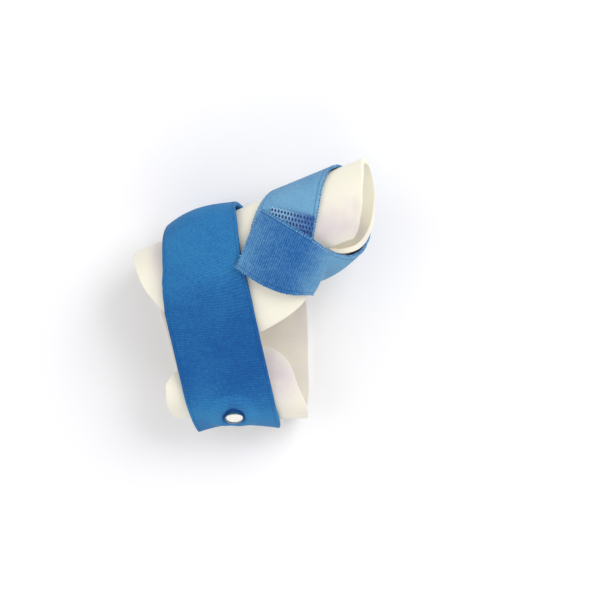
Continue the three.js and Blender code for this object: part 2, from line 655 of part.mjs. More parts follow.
function addPiece(name, geometry, color, roughness) {
  const piece = new THREE.Mesh(geometry, new THREE.MeshStandardMaterial({ color, roughness, metalness: 0 }));
  piece.name = name;
  group.add(piece);
}

const rivetHole = toSolid(makeRivetHole());
addPiece("splint_shell", toGeometry(toSolid(makeSheet()).subtract(rivetHole)), SPLINT_WHITE, 0.45);
addPiece("wrist_strap", toGeometry(toSolid(makeWristStrap()).subtract(rivetHole)), STRAP_BLUE, 0.85);
addPiece("wrist_hook_pad", makeWristHookPad(), HOOK_BLUE, 0.8);
addPiece("strap_rivet", makeRivet(), RIVET_WHITE, 0.3);
addPiece(
  "thumb_strap",
  makeThumbStrapPiece(
    THUMB_STRAP_START,
    THUMB_STRAP_STOP,
    THUMB_STRAP_STEPS,
    [-1, 1],
    0,
    THUMB_STRAP_THICKNESS,
  ),
  WEBBING_BLUE,
  0.9,
);
addPiece(
  "thumb_hook_patch",
  makeThumbStrapPiece(
    HOOK_PATCH.start,
    HOOK_PATCH.end,
    HOOK_PATCH_STEPS,
    [HOOK_PATCH.wristSide, HOOK_PATCH.fingerSide],
    THUMB_STRAP_THICKNESS + LAYER_GAP,
    HOOK_THICKNESS,
  ),
  HOOK_BLUE,
  0.8,
);

// The origin goes to the middle of the overall box, at its foot.
const box = new THREE.Box3().setFromObject(group);
const middle = box.getCenter(new THREE.Vector3());
group.position.set(-middle.x, -middle.y, -box.min.z);

export default group;
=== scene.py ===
"""A hand-based thumb splint: a white moulded shell and two blue straps, lying on the back of the shell."""

import bisect
import math
import random

import bmesh
import bpy
from bpy.props import FloatProperty, FloatVectorProperty, PointerProperty
from mathutils import Matrix, Vector, noise


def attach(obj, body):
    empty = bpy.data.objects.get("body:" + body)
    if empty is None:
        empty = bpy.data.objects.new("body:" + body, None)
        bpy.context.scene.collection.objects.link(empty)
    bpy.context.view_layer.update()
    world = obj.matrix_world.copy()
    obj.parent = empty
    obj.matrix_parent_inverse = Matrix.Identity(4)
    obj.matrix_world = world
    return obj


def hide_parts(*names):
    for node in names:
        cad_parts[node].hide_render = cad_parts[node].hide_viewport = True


bl_info = {
    "name": "Thumb Splint",
    "version": (1, 0, 0),
    "blender": (4, 5, 0),
    "location": "View3D > Sidebar > Splint",
    "description": "Builds a moulded thumb splint with a riveted wrist strap and a woven thumb strap",
    "category": "Add Mesh",
}

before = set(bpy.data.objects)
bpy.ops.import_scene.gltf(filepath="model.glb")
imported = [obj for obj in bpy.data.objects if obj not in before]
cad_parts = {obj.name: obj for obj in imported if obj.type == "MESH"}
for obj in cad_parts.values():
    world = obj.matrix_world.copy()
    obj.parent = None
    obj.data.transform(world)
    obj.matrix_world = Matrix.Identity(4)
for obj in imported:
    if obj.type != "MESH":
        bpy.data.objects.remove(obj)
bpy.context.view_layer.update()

MM = 0.001
DEGREE = math.pi / 180

# Sizes of the moulded sheet, in millimetres
SHEET = 2.4
RADIAL_LENGTH = 107
HAND_BREADTH = 73.4
THUMB_ANGLE = 21.8 * DEGREE
THUMB_RISE = 11.9 * DEGREE
WRIST_HEIGHT = 21.5
THUMB_RADIUS = 21.5
PALM_WIDTH = 53.2
ULNAR_RADIUS = 16.5
WING_REACH = 18.3
WING_RADIUS = 70
KNUCKLE_RADIUS = 12
KNUCKLE_INSET = 11.3
TUCK_END = 425 * DEGREE
TUCK_GAP = 0.5

# Straps and fittings, in millimetres
WRIST_STRAP_WIDTH = 37
WRIST_STRAP_THICKNESS = 2.2
THUMB_STRAP_WIDTH = 26.5
THUMB_STRAP_THICKNESS = 1.4
SEAT_GAP = 0.55
LAYER_GAP = 0.42
HOOK_THICKNESS = 1.1
STRAP_DOME = 5.2
DOME_FACING = 158
DOME_SPREAD = 30
DOME_MIDDLE = -0.1
DOME_FALL = 0.75
RIVET_CLEARANCE = 0.3
RIVET_SHANK_RADIUS = 2
RIVET_TAIL_RADIUS = 3.6
RIVET_TAIL_HEIGHT = 0.7
RIVET_STEPS = 40

# Where the wrist corner of the radial border stands in the frame, in millimetres
ORIGIN = Vector((-51.225, 20.357, 0.0))

# (share of RADIAL_LENGTH, radius in THUMB_RADIUS, radius past the top in thumb radii)
THUMB_FORM = [
    (-0.12, 0.875, 2.9),
    (0.0, 0.885, 2.9),
    (0.28, 1.0, 2.9),
    (0.5, 0.975, 2.75),
    (0.617, 0.905, 1.75),
    (0.7, 0.85, 1.05),
    (0.84, 0.828, 1.0),
    (1.0, 0.8, 1.0),
]

# Rows of the sheet: 0 wing edge, 1 top of the ulnar bend, 2 its foot, 3 foot of the knuckle roll,
# 4 and 5 ends of the slope, 6 radial border, 7 top of the thumb, 8 palm edge
FACETS = [8, 20, 8, 8, 8, 10, 16, 14]
SLOPE_END = 5
PALM_EDGE = 8
WEB = 0.617

# (row, share of RADIAL_LENGTH)
WRIST_EDGE = [
    (0, -0.012),
    (0.5, -0.056),
    (1, -0.09),
    (1.2, -0.116),
    (1.5, -0.109),
    (2, -0.05),
    (3, 0.0),
    (4, 0.025),
    (5, 0.012),
    (6, 0.0),
    (6.3, -0.02),
    (6.75, -0.026),
    (7, -0.018),
    (8, 0.015),
]
FINGER_EDGE = [
    (0, 0.377),
    (0.35, 0.407),
    (1, 0.405),
    (1.3, 0.402),
    (1.5, 0.388),
    (1.7, 0.398),
    (2, 0.448),
    (3, 0.585),
    (4, 0.59),
    (4.67, 0.603),
    (5, 0.617),
]
THUMB_RIM = [
    (5, 1.0),
    (5.5, 1.0),
    (6, 0.982),
    (6.5, 0.957),
    (7, 0.909),
    (7.5, 0.876),
    (7.8, 0.853),
    (8, 0.826),
]

# (share round the thumb, wrist side, rim, how far it is tucked in)
WEB_FLAP = [
    (0, 0.617, 1.0, 0),
    (0.07, 0.655, 0.995, 0),
    (0.15, 0.685, 0.985, 0),
    (0.33, 0.7, 0.942, 0),
    (0.44, 0.69, 0.907, 0),
    (0.58, 0.665, 0.853, 0.03),
    (0.66, 0.65, 0.815, 0.1),
    (0.75, 0.64, 0.762, 0.35),
    (0.8, 0.637, 0.74, 0.65),
    (0.84, 0.635, 0.727, 0.87),
    (0.89, 0.635, 0.715, 1),
    (1, 0.635, 0.7, 1),
]

# (share of RADIAL_LENGTH, share of PALM_WIDTH)
PALM_OUTLINE = [
    (0.015, 0.547),
    (0.075, 0.765),
    (0.143, 0.91),
    (0.234, 0.99),
    (0.29, 1.0),
    (0.402, 0.981),
    (0.503, 0.938),
    (0.57, 0.875),
    (0.617, 0.78),
    (0.664, 0.655),
    (0.705, 0.588),
    (0.776, 0.573),
    (0.84, 0.58),
]

# (share along the wing's edge, share of WING_REACH)
WING_OUTLINE = [(0, 0.43), (0.15, 0.64), (0.42, 0.885), (0.73, 1.0), (0.9, 1.0), (1, 0.9)]
HAND_COLUMNS = 36
WRAP_COLUMNS = 20
FLAP_STEPS = 40

# Wrist strap: (place, middle as a share of RADIAL_LENGTH, cover of the border in strap widths)
WRIST_STRAP = [
    (0, 0.116, 0.945),
    (0.5, 0.123, 0.955),
    (1, 0.133, 0.955),
    (2, 0.19, 0.962),
    (3, 0.2235, 0.972),
    (3.16, 0.244, 0.95),
    (3.32, 0.264, 0.935),
    (3.65, 0.299, 0.83),
    (4, 0.336, 0.85),
    (5, 0.356, 0.9),
]
RIVET_PLACE = 0.57
STRAP_END_FACING = -8 * DEGREE
STRAP_STOP = 4.5
HOOK_PAD = (3.78, 4.38)
HOOK_PAD_MARGIN = 2
PAD_RAMP = 0.25
END_FLARES = (4.3, 2.0)
FLARE_POWER = 1.6
WRIST_STRAP_FACETS = (28, 20, 10, 44, 8)
WRIST_STRAP_COLUMNS = 36

# Painted light and shade on the wrist strap, painted highlights where it bends round the ulnar side and over
# the thumb, painted shade where it spans the palm: (place, its wrist side, its finger side), from 0 deep blue
# to 1 pale
WRIST_STRAP_PAINTED_SHADING = [
    (0, 0.62, 0.6),
    (0.35, 0.75, 0.72),
    (0.6, 0.8, 0.78),
    (0.85, 0.5, 0.55),
    (1.2, 0.28, 0.3),
    (1.6, 0.22, 0.24),
    (2, 0.26, 0.28),
    (2.5, 0.42, 0.36),
    (3, 0.6, 0.55),
    (3.4, 0.62, 0.6),
    (4.5, 0.4, 0.4),
]

# Painted light and shade on the thumb strap, painted highlights on its upper band and where it bulges round
# the web, painted shade along the middle of its lower band: (row, tone)
THUMB_STRAP_PAINTED_SHADING = [
    (0, 0.75),
    (3, 0.8),
    (6, 0.7),
    (12, 0.45),
    (17, 0.6),
    (20, 0.72),
    (21.5, 0.66),
    (22.7, 0.36),
    (24, 0.14),
    (25.5, 0.22),
    (27, 0.42),
]

# Painted lilac shade on the shell, seen from above, in millimetres: (x, y, reach in x, reach in y, strength)
PAINTED_LILAC_SHADE = [
    (36.0, 31.0, 9.5, 9.5, 0.62),
    (30.0, 27.0, 7.0, 5.0, 0.55),
    (41.0, 38.0, 2.5, 4.0, 0.35),
    (7.0, -27.0, 8.5, 9.5, 0.7),
    (13.0, -36.5, 8.5, 9.0, 0.55),
    (-41.5, 16.0, 3.0, 13.0, 0.5),
    (3.0, 7.5, 5.0, 3.0, 0.35),
    (46.5, 28.0, 3.0, 6.0, 0.5),
]
# Below this height the shell's underside gets a fixed share of painted lilac shade
UNDERSIDE_TOP = 12
UNDERSIDE_PAINTED_SHADE = 0.3

# Marks of moulding, in millimetres: (x, y, reach in x, reach in y, depth)
DENTS = [
    (42.0, 37.5, 1.5, 4.5, 0.95),
    (36.0, 30.5, 6.0, 5.0, 0.7),
    (43.5, 31.0, 2.2, 4.0, -0.4),
]
UNEVEN_HEIGHT = 0.22
UNEVEN_SPACING = 17

# Thumb strap: (row, wrist side edge along, its turn in degrees, finger side edge along, its turn).
# Row 0 is near its hidden end on top of the thumb and row 27 at its lapped end.
THUMB_STRAP = [
    (0, 0.404, 74, 0.636, 42),
    (1, 0.42, 88, 0.652, 54),
    (2, 0.458, 113, 0.669, 68),
    (3, 0.507, 134, 0.707, 86),
    (4, 0.551, 152, 0.748, 107),
    (5, 0.581, 165, 0.781, 126),
    (6, 0.606, 178, 0.815, 146),
    (7, 0.634, 194, 0.845, 166),
    (8, 0.658, 209, 0.878, 186),
    (9, 0.672, 221, 0.903, 206),
    (10, 0.679, 232, 0.919, 227),
    (11, 0.682, 243, 0.925, 246),
    (12, 0.683, 256, 0.927, 266),
    (13, 0.681, 269, 0.924, 285),
    (14, 0.675, 281, 0.914, 303),
    (15, 0.668, 292, 0.895, 319),
    (16, 0.657, 304, 0.869, 333),
    (17, 0.642, 318, 0.847, 347),
    (18, 0.627, 334, 0.82, 360),
    (19, 0.614, 350, 0.79, 372),
    (20, 0.604, 366, 0.765, 385),
    (21, 0.594, 382, 0.74, 400),
    (22, 0.562, 394, 0.712, 416),
    (23, 0.52, 402.5, 0.679, 434),
    (24, 0.476, 410, 0.65, 446),
    (25, 0.435, 419, 0.613, 460),
    (26, 0.391, 432, 0.573, 475),
    (27, 0.356, 445, 0.536, 489),
]

# (row, lift of the wrist side edge, lift of the finger side edge, crown between them)
THUMB_STRAP_LIFT = [
    (0, 0, 0, 0),
    (13, 0, 0, 0),
    (14, 0, 0, 0.05),
    (15, 0, 0, 0.2),
    (16, 0.05, 0, 0.45),
    (17, 0.1, 0, 0.7),
    (18, 0.1, 0, 0.9),
    (19, 0.05, 0.05, 0.95),
    (20, 0, 0.08, 0.8),
    (21, 0.05, 0.3, 0.55),
    (22, 0.6, 0.8, 0.22),
    (23, 1, 1, 0),
    (24, 1, 1, 0),
]
THUMB_STRAP_START = 0.1
THUMB_STRAP_STOP = 27
THUMB_STRAP_STEPS = 190
THUMB_STRAP_COLUMNS = 20
SELVEDGE_PITCH = 1.3
SELVEDGE_BEAD = (0.56, 0.34, 0.66)
STITCH_BEAD = (0.52, 0.2, 0.13)
STITCH_INSET = 0.8
FRAYED_YARNS = 64

# Rows where the hook patch starts and ends, and its wrist side and finger side as sides of the strap
HOOK_PATCH = (1, 3.4, -0.5, 0.94)

# Cloth round the rivet's head, in millimetres from its axis: (radius, width of the ring)
PUFF_RING = (7.8, 2.2)
FOLD_RING = (6.8, 2.2)
CREASE_RING = (4.6, 1.3)
# The last two rings are painted: shade in the crease round the head, and a highlight on the puff
CREASE_SHADE_RING = (4.7, 1.0)
PUFF_HIGHLIGHT_RING = (8, 2.5)
PUCKER_REACH = 18

# Studio and camera, in metres: (name, place, size, power in watts) and what the picture's middle shows
LIGHTS = (
    ("key light", (0.6, 0.5, 0.85), 0.7, 6.6),
    ("fill light", (-0.75, 0.0, 0.8), 1.0, 2.6),
    ("low fill", (0.1, -0.9, 0.7), 1.0, 2.6),
)
LIT_PLACE = Vector((0, 0, 0.02))
ROOM_COLOUR = (0.97, 0.96, 1, 1)
ROOM_LIGHT = 0.64
FLOOR_HALF = 3.0
FLOOR_DROP = 0.0002
PICTURE_PIXELS = 600
PIXEL = 0.43 * MM
VIEWED_PLACE = Vector((0.0197, -0.0011, 0.035))
CAMERA_DISTANCE = 1.0
SENSOR_WIDTH = 36


def read(table, column, place):
    """One column of a table at a place between its rows, on a smooth curve through them."""
    keys = [row[0] for row in table]
    last = len(table) - 1
    at = min(max(place, keys[0]), keys[last])
    i = min(max(bisect.bisect_left(keys, at) - 1, 0), last - 1)

    def slope(j):
        before = table[max(j - 1, 0)]
        after = table[min(j + 1, last)]
        return (after[column] - before[column]) / (after[0] - before[0])

    span = keys[i + 1] - keys[i]
    t = (at - keys[i]) / span
    return (
        table[i][column] * (1 + 2 * t) * (1 - t) ** 2
        + slope(i) * span * t * (1 - t) ** 2
        + table[i + 1][column] * t * t * (3 - 2 * t)
        + slope(i + 1) * span * t * t * (t - 1)
    )


def mix(start, end, share):
    """Plain mean of two numbers, weighted."""
    return start + (end - start) * share


def smooth(low, high, value):
    """0 below low, 1 above high, and smooth between them."""
    t = min(max((value - low) / (high - low), 0), 1)
    return t * t * (3 - 2 * t)


def raw_space(along, across, height):
    """A place along the radial border, across from it and above the table, before the origin is moved."""
    cos, sin = math.cos(THUMB_ANGLE), math.sin(THUMB_ANGLE)
    return Vector((along * cos + across * sin, along * sin - across * cos, height))


def circles_at(along):
    """The circles that the section follows there, each as (across, height, radius)."""
    share = along / RADIAL_LENGTH
    radius = THUMB_RADIUS * read(THUMB_FORM, 1, share)
    palm_radius = radius * read(THUMB_FORM, 2, share)
    shift = along * math.tan(THUMB_ANGLE)
    height = WRIST_HEIGHT + along * math.tan(THUMB_RISE)
    return {
        "thumb": (radius, height, radius),
        "palm": (radius, height + radius - palm_radius, palm_radius),
        "ulnar": (shift + HAND_BREADTH / math.cos(THUMB_ANGLE) - ULNAR_RADIUS, ULNAR_RADIUS, ULNAR_RADIUS),
        "knuckle": (shift + KNUCKLE_INSET / math.cos(THUMB_ANGLE), KNUCKLE_RADIUS, KNUCKLE_RADIUS),
    }


def on_circle(circle, facing, lift=0.0):
    """(across, height) off a circle, where the surface faces that way."""
    across, height, radius = circle
    return across + (radius + lift) * math.cos(facing), height + (radius + lift) * math.sin(facing)


def tangent_facing(start, end, turn):
    """Which way the straight tangent outside two circles faces, on the side that turn gives."""
    across, height = end[0] - start[0], end[1] - start[1]
    lean = math.acos((start[2] - end[2]) / math.hypot(across, height))
    return (math.atan2(height, across) + turn * lean) % (2 * math.pi)


def slope_facing(circles):
    """Which way the slope from the knuckle roll up to the thumb faces."""
    return tangent_facing(circles["knuckle"], circles["thumb"], 1)


def palm_turn(along):
    """How far the near panel turns past the top of the thumb before its palm edge."""
    circles = circles_at(along)
    width = PALM_WIDTH * read(PALM_OUTLINE, 1, along / RADIAL_LENGTH)
    return math.asin(min((width - circles["thumb"][2]) / circles["palm"][2], 0.95))


def sheet_point(row, along, wing, palm):
    """Outer surface of the sheet on one row."""
    circles = circles_at(along)
    band = min(int(row), len(FACETS) - 1)
    share = row - band
    slope = slope_facing(circles)
    ulnar, knuckle, thumb = circles["ulnar"], circles["knuckle"], circles["thumb"]
    if band == 0:
        turn = (1 - share) * wing / WING_RADIUS
        drop = WING_RADIUS * (1 - math.cos(turn))
        place = (ulnar[0] - WING_RADIUS * math.sin(turn), 2 * ULNAR_RADIUS - drop)
    elif band == 1:
        place = on_circle(ulnar, math.pi * (0.5 - share))
    elif band == 2:
        place = (mix(ulnar[0], knuckle[0], share), 0)
    elif band == 3:
        place = on_circle(knuckle, mix(1.5 * math.pi, slope, share))
    elif band == 4:
        start, end = on_circle(knuckle, slope), on_circle(thumb, slope)
        place = (mix(start[0], end[0], share), mix(start[1], end[1], share))
    elif band == 5:
        place = on_circle(thumb, mix(slope, math.pi, share))
    elif band == 6:
        place = on_circle(thumb, math.pi * (1 - share / 2))
    else:
        place = on_circle(circles["palm"], math.pi / 2 - palm * share)
    return raw_space(along, *place)


def flap_point(share, along):
    """Outer surface of the web flap, which goes on round the thumb from the end of the slope."""
    circles = circles_at(along)
    tuck = read(WEB_FLAP, 3, share) * (SHEET + TUCK_GAP)
    return raw_space(along, *on_circle(circles["thumb"], mix(slope_facing(circles), TUCK_END, share), -tuck))


def palm_span_facing(along):
    """Which way the wrist strap faces where it spans the palm."""
    circles = circles_at(along)
    return tangent_facing(circles["ulnar"], circles["palm"], -1)


def strap_along(place, side):
    """Place along the radial border of the wrist strap's middle (side 0) or of its edges (-1 and 1)."""
    half = WRIST_STRAP_WIDTH / 2 * read(WRIST_STRAP, 2, place)
    return RADIAL_LENGTH * read(WRIST_STRAP, 1, place) + side * half


def slope_point(along, share, lift):
    """A point off the straight slope from the thumb to the knuckle roll."""
    circles = circles_at(along)
    facing = slope_facing(circles)
    start = on_circle(circles["thumb"], facing, lift)
    end = on_circle(circles["knuckle"], facing, lift)
    return raw_space(along, mix(start[0], end[0], share), mix(start[1], end[1], share))


def wrist_strap_point(side, place):
    """Inner face of the wrist strap: round the ulnar side, over the palm and the thumb, and down the back."""
    band = min(int(place), 4)
    share = place - band
    span = palm_span_facing(strap_along(1.5, side))

    def placed(circle, along, facing, lift):
        return raw_space(along, *on_circle(circle, facing, SEAT_GAP + lift))

    along = strap_along(place, side)
    circles = circles_at(along)
    if band == 0:
        facing = mix(STRAP_END_FACING, span, share)
        flare = END_FLARES[0] if side < 0 else END_FLARES[1]
        to_end = max(0, (RIVET_PLACE - place) / RIVET_PLACE)
        return placed(circles["ulnar"], along, facing, flare * abs(side) ** FLARE_POWER * to_end**2)
    if band == 1:
        near, far = strap_along(1, side), strap_along(2, side)
        start = placed(circles_at(near)["ulnar"], near, span, 0)
        return start.lerp(placed(circles_at(far)["palm"], far, span, 0), share)
    if band == 2:
        return placed(circles["palm"], along, mix(span, math.pi / 2, share), 0)
    on_pad = smooth(HOOK_PAD[0] - PAD_RAMP, HOOK_PAD[0], place)
    pad_lift = (HOOK_THICKNESS + LAYER_GAP) * on_pad
    if band == 4:
        return slope_point(along, share, SEAT_GAP + pad_lift)
    facing = mix(90, slope_facing(circles) / DEGREE, share)
    swell = math.exp(-(((facing - DOME_FACING) / DOME_SPREAD) ** 2))
    crown = max(0, 1 - DOME_FALL * (side - DOME_MIDDLE) ** 2)
    return placed(circles["thumb"], along, facing * DEGREE, STRAP_DOME * swell * crown + pad_lift)


def hook_pad_point(side, place):
    """Inner face of the hook pad under the free end of the wrist strap."""
    along = strap_along(place, side)
    if place >= 4:
        return slope_point(along, place - 4, SEAT_GAP)
    circles = circles_at(along)
    facing = mix(math.pi / 2, slope_facing(circles), place - 3)
    return raw_space(along, *on_circle(circles["thumb"], facing, SEAT_GAP))


def reach_around(along, turn):
    """Distance from the thumb's centre out to the sheet, or to the span from the palm edge to the web."""
    circles = circles_at(along)
    thumb, palm = circles["thumb"], circles["palm"]
    edge = on_circle(palm, math.pi / 2 - palm_turn(along))
    edge_turn = math.atan2(edge[1] - thumb[1], edge[0] - thumb[0])
    edge_reach = math.hypot(edge[0] - thumb[0], edge[1] - thumb[1])
    web = edge_turn - math.acos(min(1, thumb[2] / edge_reach))
    angle = (turn + math.pi / 2) % (2 * math.pi) - math.pi / 2
    if angle >= math.pi / 2 or angle <= web:
        return thumb[2]
    if angle <= edge_turn:
        return thumb[2] / math.cos(angle - web)
    drop = palm[2] - thumb[2]
    return math.sqrt(palm[2] ** 2 - (drop * math.cos(angle)) ** 2) - drop * math.sin(angle)


def around_thumb(along, angle, lift):
    """A point at a turn round the thumb, lifted off the sheet."""
    thumb = circles_at(along)["thumb"]
    out = reach_around(along, angle) + lift
    return raw_space(along, thumb[0] + out * math.cos(angle), thumb[1] + out * math.sin(angle))


def thumb_strap_point(row, side, lift):
    """Inner face of the thumb strap on a row: side -1 at the wrist side edge, 1 at the finger side."""
    share = (1 + side) / 2
    wrist, wrist_turn, finger, finger_turn = (read(THUMB_STRAP, column, row) for column in range(1, 5))
    wrist_lift, finger_lift, crown = (read(THUMB_STRAP_LIFT, column, row) for column in range(1, 4))
    along = RADIAL_LENGTH * mix(wrist, finger, share)
    turn = mix(wrist_turn, finger_turn, share) * DEGREE
    layer = THUMB_STRAP_THICKNESS + HOOK_THICKNESS + 2 * LAYER_GAP
    raised = layer * (mix(wrist_lift, finger_lift, share) + crown * (1 - side**2))
    return around_thumb(along, turn, SEAT_GAP + lift + raised)


def to_frame(point):
    """From millimetres off the wrist corner to metres in the frame."""
    return (point + ORIGIN) * MM


# Sheets of mesh


def grid_sheet(bm, columns, rows, place, uv_of=None, tone_of=None):
    """Adds a grid of faces whose corners go where place(u, v) says, with u and v from 0 to 1."""
    layer = bm.loops.layers.uv.verify()
    tone = bm.verts.layers.float.get("tone") or bm.verts.layers.float.new("tone")
    made = bmesh.ops.create_grid(bm, x_segments=columns, y_segments=rows, size=0.5)["verts"]
    shares = {vert: (vert.co.x + 0.5, vert.co.y + 0.5) for vert in made}
    faces = {face for vert in made for face in vert.link_faces}
    for face in faces:
        face.smooth = True
        for loop in face.loops:
            u, v = shares[loop.vert]
            loop[layer].uv = uv_of(u, v) if uv_of else (u, v)
    for vert, (u, v) in shares.items():
        vert.co = to_frame(place(u, v))
        vert[tone] = tone_of(u, v) if tone_of else 0.5
    return made


def paint_lilac_shade(bm):
    """Writes the painted lilac shade of the shell into its corners: a fixed share on its underside, and soft
    clouds of it seen from above.
    """
    layer = bm.verts.layers.float["tone"]
    for vert in bm.verts:
        x, y = vert.co.x / MM, vert.co.y / MM
        if vert.co.z < UNDERSIDE_TOP * MM:
            vert[layer] = UNDERSIDE_PAINTED_SHADE
            continue
        clear = 1.0
        for cloud_x, cloud_y, reach_x, reach_y, strength in PAINTED_LILAC_SHADE:
            away = ((x - cloud_x) / reach_x) ** 2 + ((y - cloud_y) / reach_y) ** 2
            clear *= 1 - strength * math.exp(-away)
        vert[layer] = 1 - clear


def uneven(bm):
    """Moves a sheet's corners a little in and out, as warm plastic takes the marks of the hands on it."""
    bm.normal_update()
    moves = {}
    for vert in bm.verts:
        moves[vert] = vert.normal * noise.noise(vert.co / (UNEVEN_SPACING * MM)) * UNEVEN_HEIGHT * MM
    for vert, move in moves.items():
        vert.co += move


def dent(bm, centre_x, centre_y, reach_x, reach_y, depth):
    """Presses a smooth dent, in millimetres as seen from above, into what faces up."""
    bm.normal_update()
    for vert in bm.verts:
        x, y = vert.co.x / MM - centre_x, vert.co.y / MM - centre_y
        away = (x / reach_x) ** 2 + (y / reach_y) ** 2
        if away < 9 and vert.normal.z > 0.3 and vert.co.z > 0.03:
            vert.co -= vert.normal * depth * MM * math.exp(-away)


def rivet_axis():
    """The foot of the rivet on the sheet, in the frame's millimetres, and the way that it points."""
    along = strap_along(RIVET_PLACE, 0)
    angle = mix(STRAP_END_FACING, palm_span_facing(strap_along(1.5, 0)), RIVET_PLACE)
    foot = raw_space(along, *on_circle(circles_at(along)["ulnar"], angle)) + ORIGIN
    return foot, Vector((0, -math.cos(angle), math.sin(angle)))


def ring(radius, middle, width):
    """1 at the middle radius, falling off smoothly over the width."""
    return math.exp(-(((radius - middle) / width) ** 2))


def pucker(bm):
    """Draws the wrist strap in round the rivet's head and puffs it up beyond, most on the palm side, and
    paints shade into the crease round the head and a highlight onto the puff.
    """
    foot, axis = rivet_axis()
    tone = bm.verts.layers.float["tone"]
    bm.normal_update()
    for vert in bm.verts:
        off = vert.co / MM - foot
        flat = off - axis * off.dot(axis)
        radius = flat.length
        if off.dot(axis) < -2 or radius > PUCKER_REACH:
            continue
        palm_side = 0.5 + 0.5 * (flat.z / radius if radius > 0.1 else 0)
        puff = (0.5 + 1.0 * palm_side) * ring(radius, *PUFF_RING)
        folds = 0.2 * math.sin(5 * math.atan2(flat.x, flat.z)) * ring(radius, *FOLD_RING)
        crease = 0.45 * ring(radius, *CREASE_RING)
        vert.co += vert.normal * (puff + folds - crease) * MM
        # Painted shade in the crease, and a painted highlight on the puff
        vert[tone] -= 1.5 * ring(radius, *CREASE_SHADE_RING)
        vert[tone] += 0.15 * ring(radius, *PUFF_HIGHLIGHT_RING)


def finish_piece(bm, name, materials, modifiers=()):
    """Makes the bmesh a shown object that rides on the root, with its modifiers and materials."""
    mesh = bpy.data.meshes.new(name)
    bm.to_mesh(mesh)
    bm.free()
    piece = bpy.data.objects.new(name, mesh)
    bpy.context.scene.collection.objects.link(piece)
    for material in materials:
        mesh.materials.append(material)
    for kind, settings in modifiers:
        modifier = piece.modifiers.new(kind.title(), kind)
        for key, value in settings.items():
            setattr(modifier, key, value)
    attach(piece, "root")
    return piece


def wall(thickness, edge):
    """Modifiers for a sheet: its thickness, outwards if that is above 0, rounded edges and a smooth face."""
    side = 1 if thickness > 0 else -1
    return [
        ("SOLIDIFY", {"thickness": abs(thickness) * MM, "offset": side, "use_even_offset": True}),
        ("BEVEL", {"width": edge * MM, "segments": 2, "limit_method": "ANGLE", "angle_limit": 50 * DEGREE}),
        ("SUBSURF", {"levels": 1, "render_levels": 1}),
    ]


# Materials


def new_material(name):
    """A material with one Principled BSDF, its nodes and links."""
    material = bpy.data.materials.new(name)
    material.use_nodes = True
    nodes = material.node_tree.nodes
    return material, nodes, material.node_tree.links, nodes["Principled BSDF"]


def srgb(*levels):
    """A colour as a screen shows it, from 0 to 255, as the linear one that a shader takes."""
    return tuple((c / 255 / 12.92) if c < 11 else ((c / 255 + 0.055) / 1.055) ** 2.4 for c in levels)


def set_inputs(node, values):
    """Gives a node's inputs their numbers or colours, by name."""
    for name, value in values.items():
        node.inputs[name].default_value = value


def attribute(nodes, name, output="Fac"):
    """What the mesh's own attribute of that name says."""
    node = nodes.new("ShaderNodeAttribute")
    node.attribute_name = name
    return node.outputs[output]


def grouped(nodes, tree, values):
    """One use of a node group, with its inputs set."""
    node = nodes.new("ShaderNodeGroup")
    node.node_tree = tree
    set_inputs(node, values)
    return node.outputs[0]


def math_nodes(nodes, links):
    """A function that adds a Math node and wires sockets or numbers to it."""

    def add(operation, first, second=None, third=None):
        node = nodes.new("ShaderNodeMath")
        node.operation = operation
        for socket, value in zip(node.inputs, (first, second, third)):
            if value is None:
                continue
            if isinstance(value, (int, float)):
                socket.default_value = value
            else:
                links.new(value, socket)
        return node.outputs["Value"]

    return add


def new_group(name, sockets, output):
    """A node group with number inputs (name, value) and one output, and the sockets to fill it with."""
    group = bpy.data.node_groups.new(name, "ShaderNodeTree")
    for label, value in sockets:
        socket = group.interface.new_socket(label, in_out="INPUT", socket_type="NodeSocketFloat")
        socket.default_value = value
    group.interface.new_socket(output, in_out="OUTPUT", socket_type="NodeSocketFloat")
    nodes, links = group.nodes, group.links
    inlet, outlet = nodes.new("NodeGroupInput"), nodes.new("NodeGroupOutput")
    uv = nodes.new("ShaderNodeUVMap")
    axes = nodes.new("ShaderNodeSeparateXYZ")
    links.new(uv.outputs["UV"], axes.inputs["Vector"])
    return group, inlet.outputs, outlet.inputs[output], axes.outputs, math_nodes(nodes, links), links


def woven_ribs():
    """Node group: ribs across a strap whose UV map is in millimetres, u across it and v along it."""
    sockets = (("Rib Pitch", 0.9), ("Yarn Pitch", 0.6), ("Yarn Depth", 0.4))
    group, given, out, axes, add, links = new_group("woven ribs", sockets, "Height")

    def wave(coordinate, pitch):
        return add("SINE", add("MULTIPLY", add("DIVIDE", coordinate, pitch), 2 * math.pi))

    rib = wave(axes["Y"], given["Rib Pitch"])
    yarn = wave(axes["X"], given["Yarn Pitch"])
    crossing = add("MULTIPLY", add("MULTIPLY", yarn, rib), given["Yarn Depth"])
    links.new(add("MULTIPLY_ADD", add("ADD", rib, crossing), 0.35, 0.5), out)
    return group


def edge_lines():
    """Node group: 1 on a line along both edges of a strap, and 0 elsewhere."""
    sockets = (("Strap Width", 37.0), ("Inset", 1.3), ("Line Width", 0.5))
    group, given, out, axes, add, links = new_group("edge lines", sockets, "Mask")
    half = add("MULTIPLY", given["Strap Width"], 0.5)
    from_edge = add("SUBTRACT", half, add("ABSOLUTE", add("SUBTRACT", axes["X"], half)))
    off_line = add("ABSOLUTE", add("SUBTRACT", from_edge, given["Inset"]))
    links.new(add("SUBTRACT", 1.0, add("MINIMUM", add("DIVIDE", off_line, given["Line Width"]), 1.0)), out)
    return group


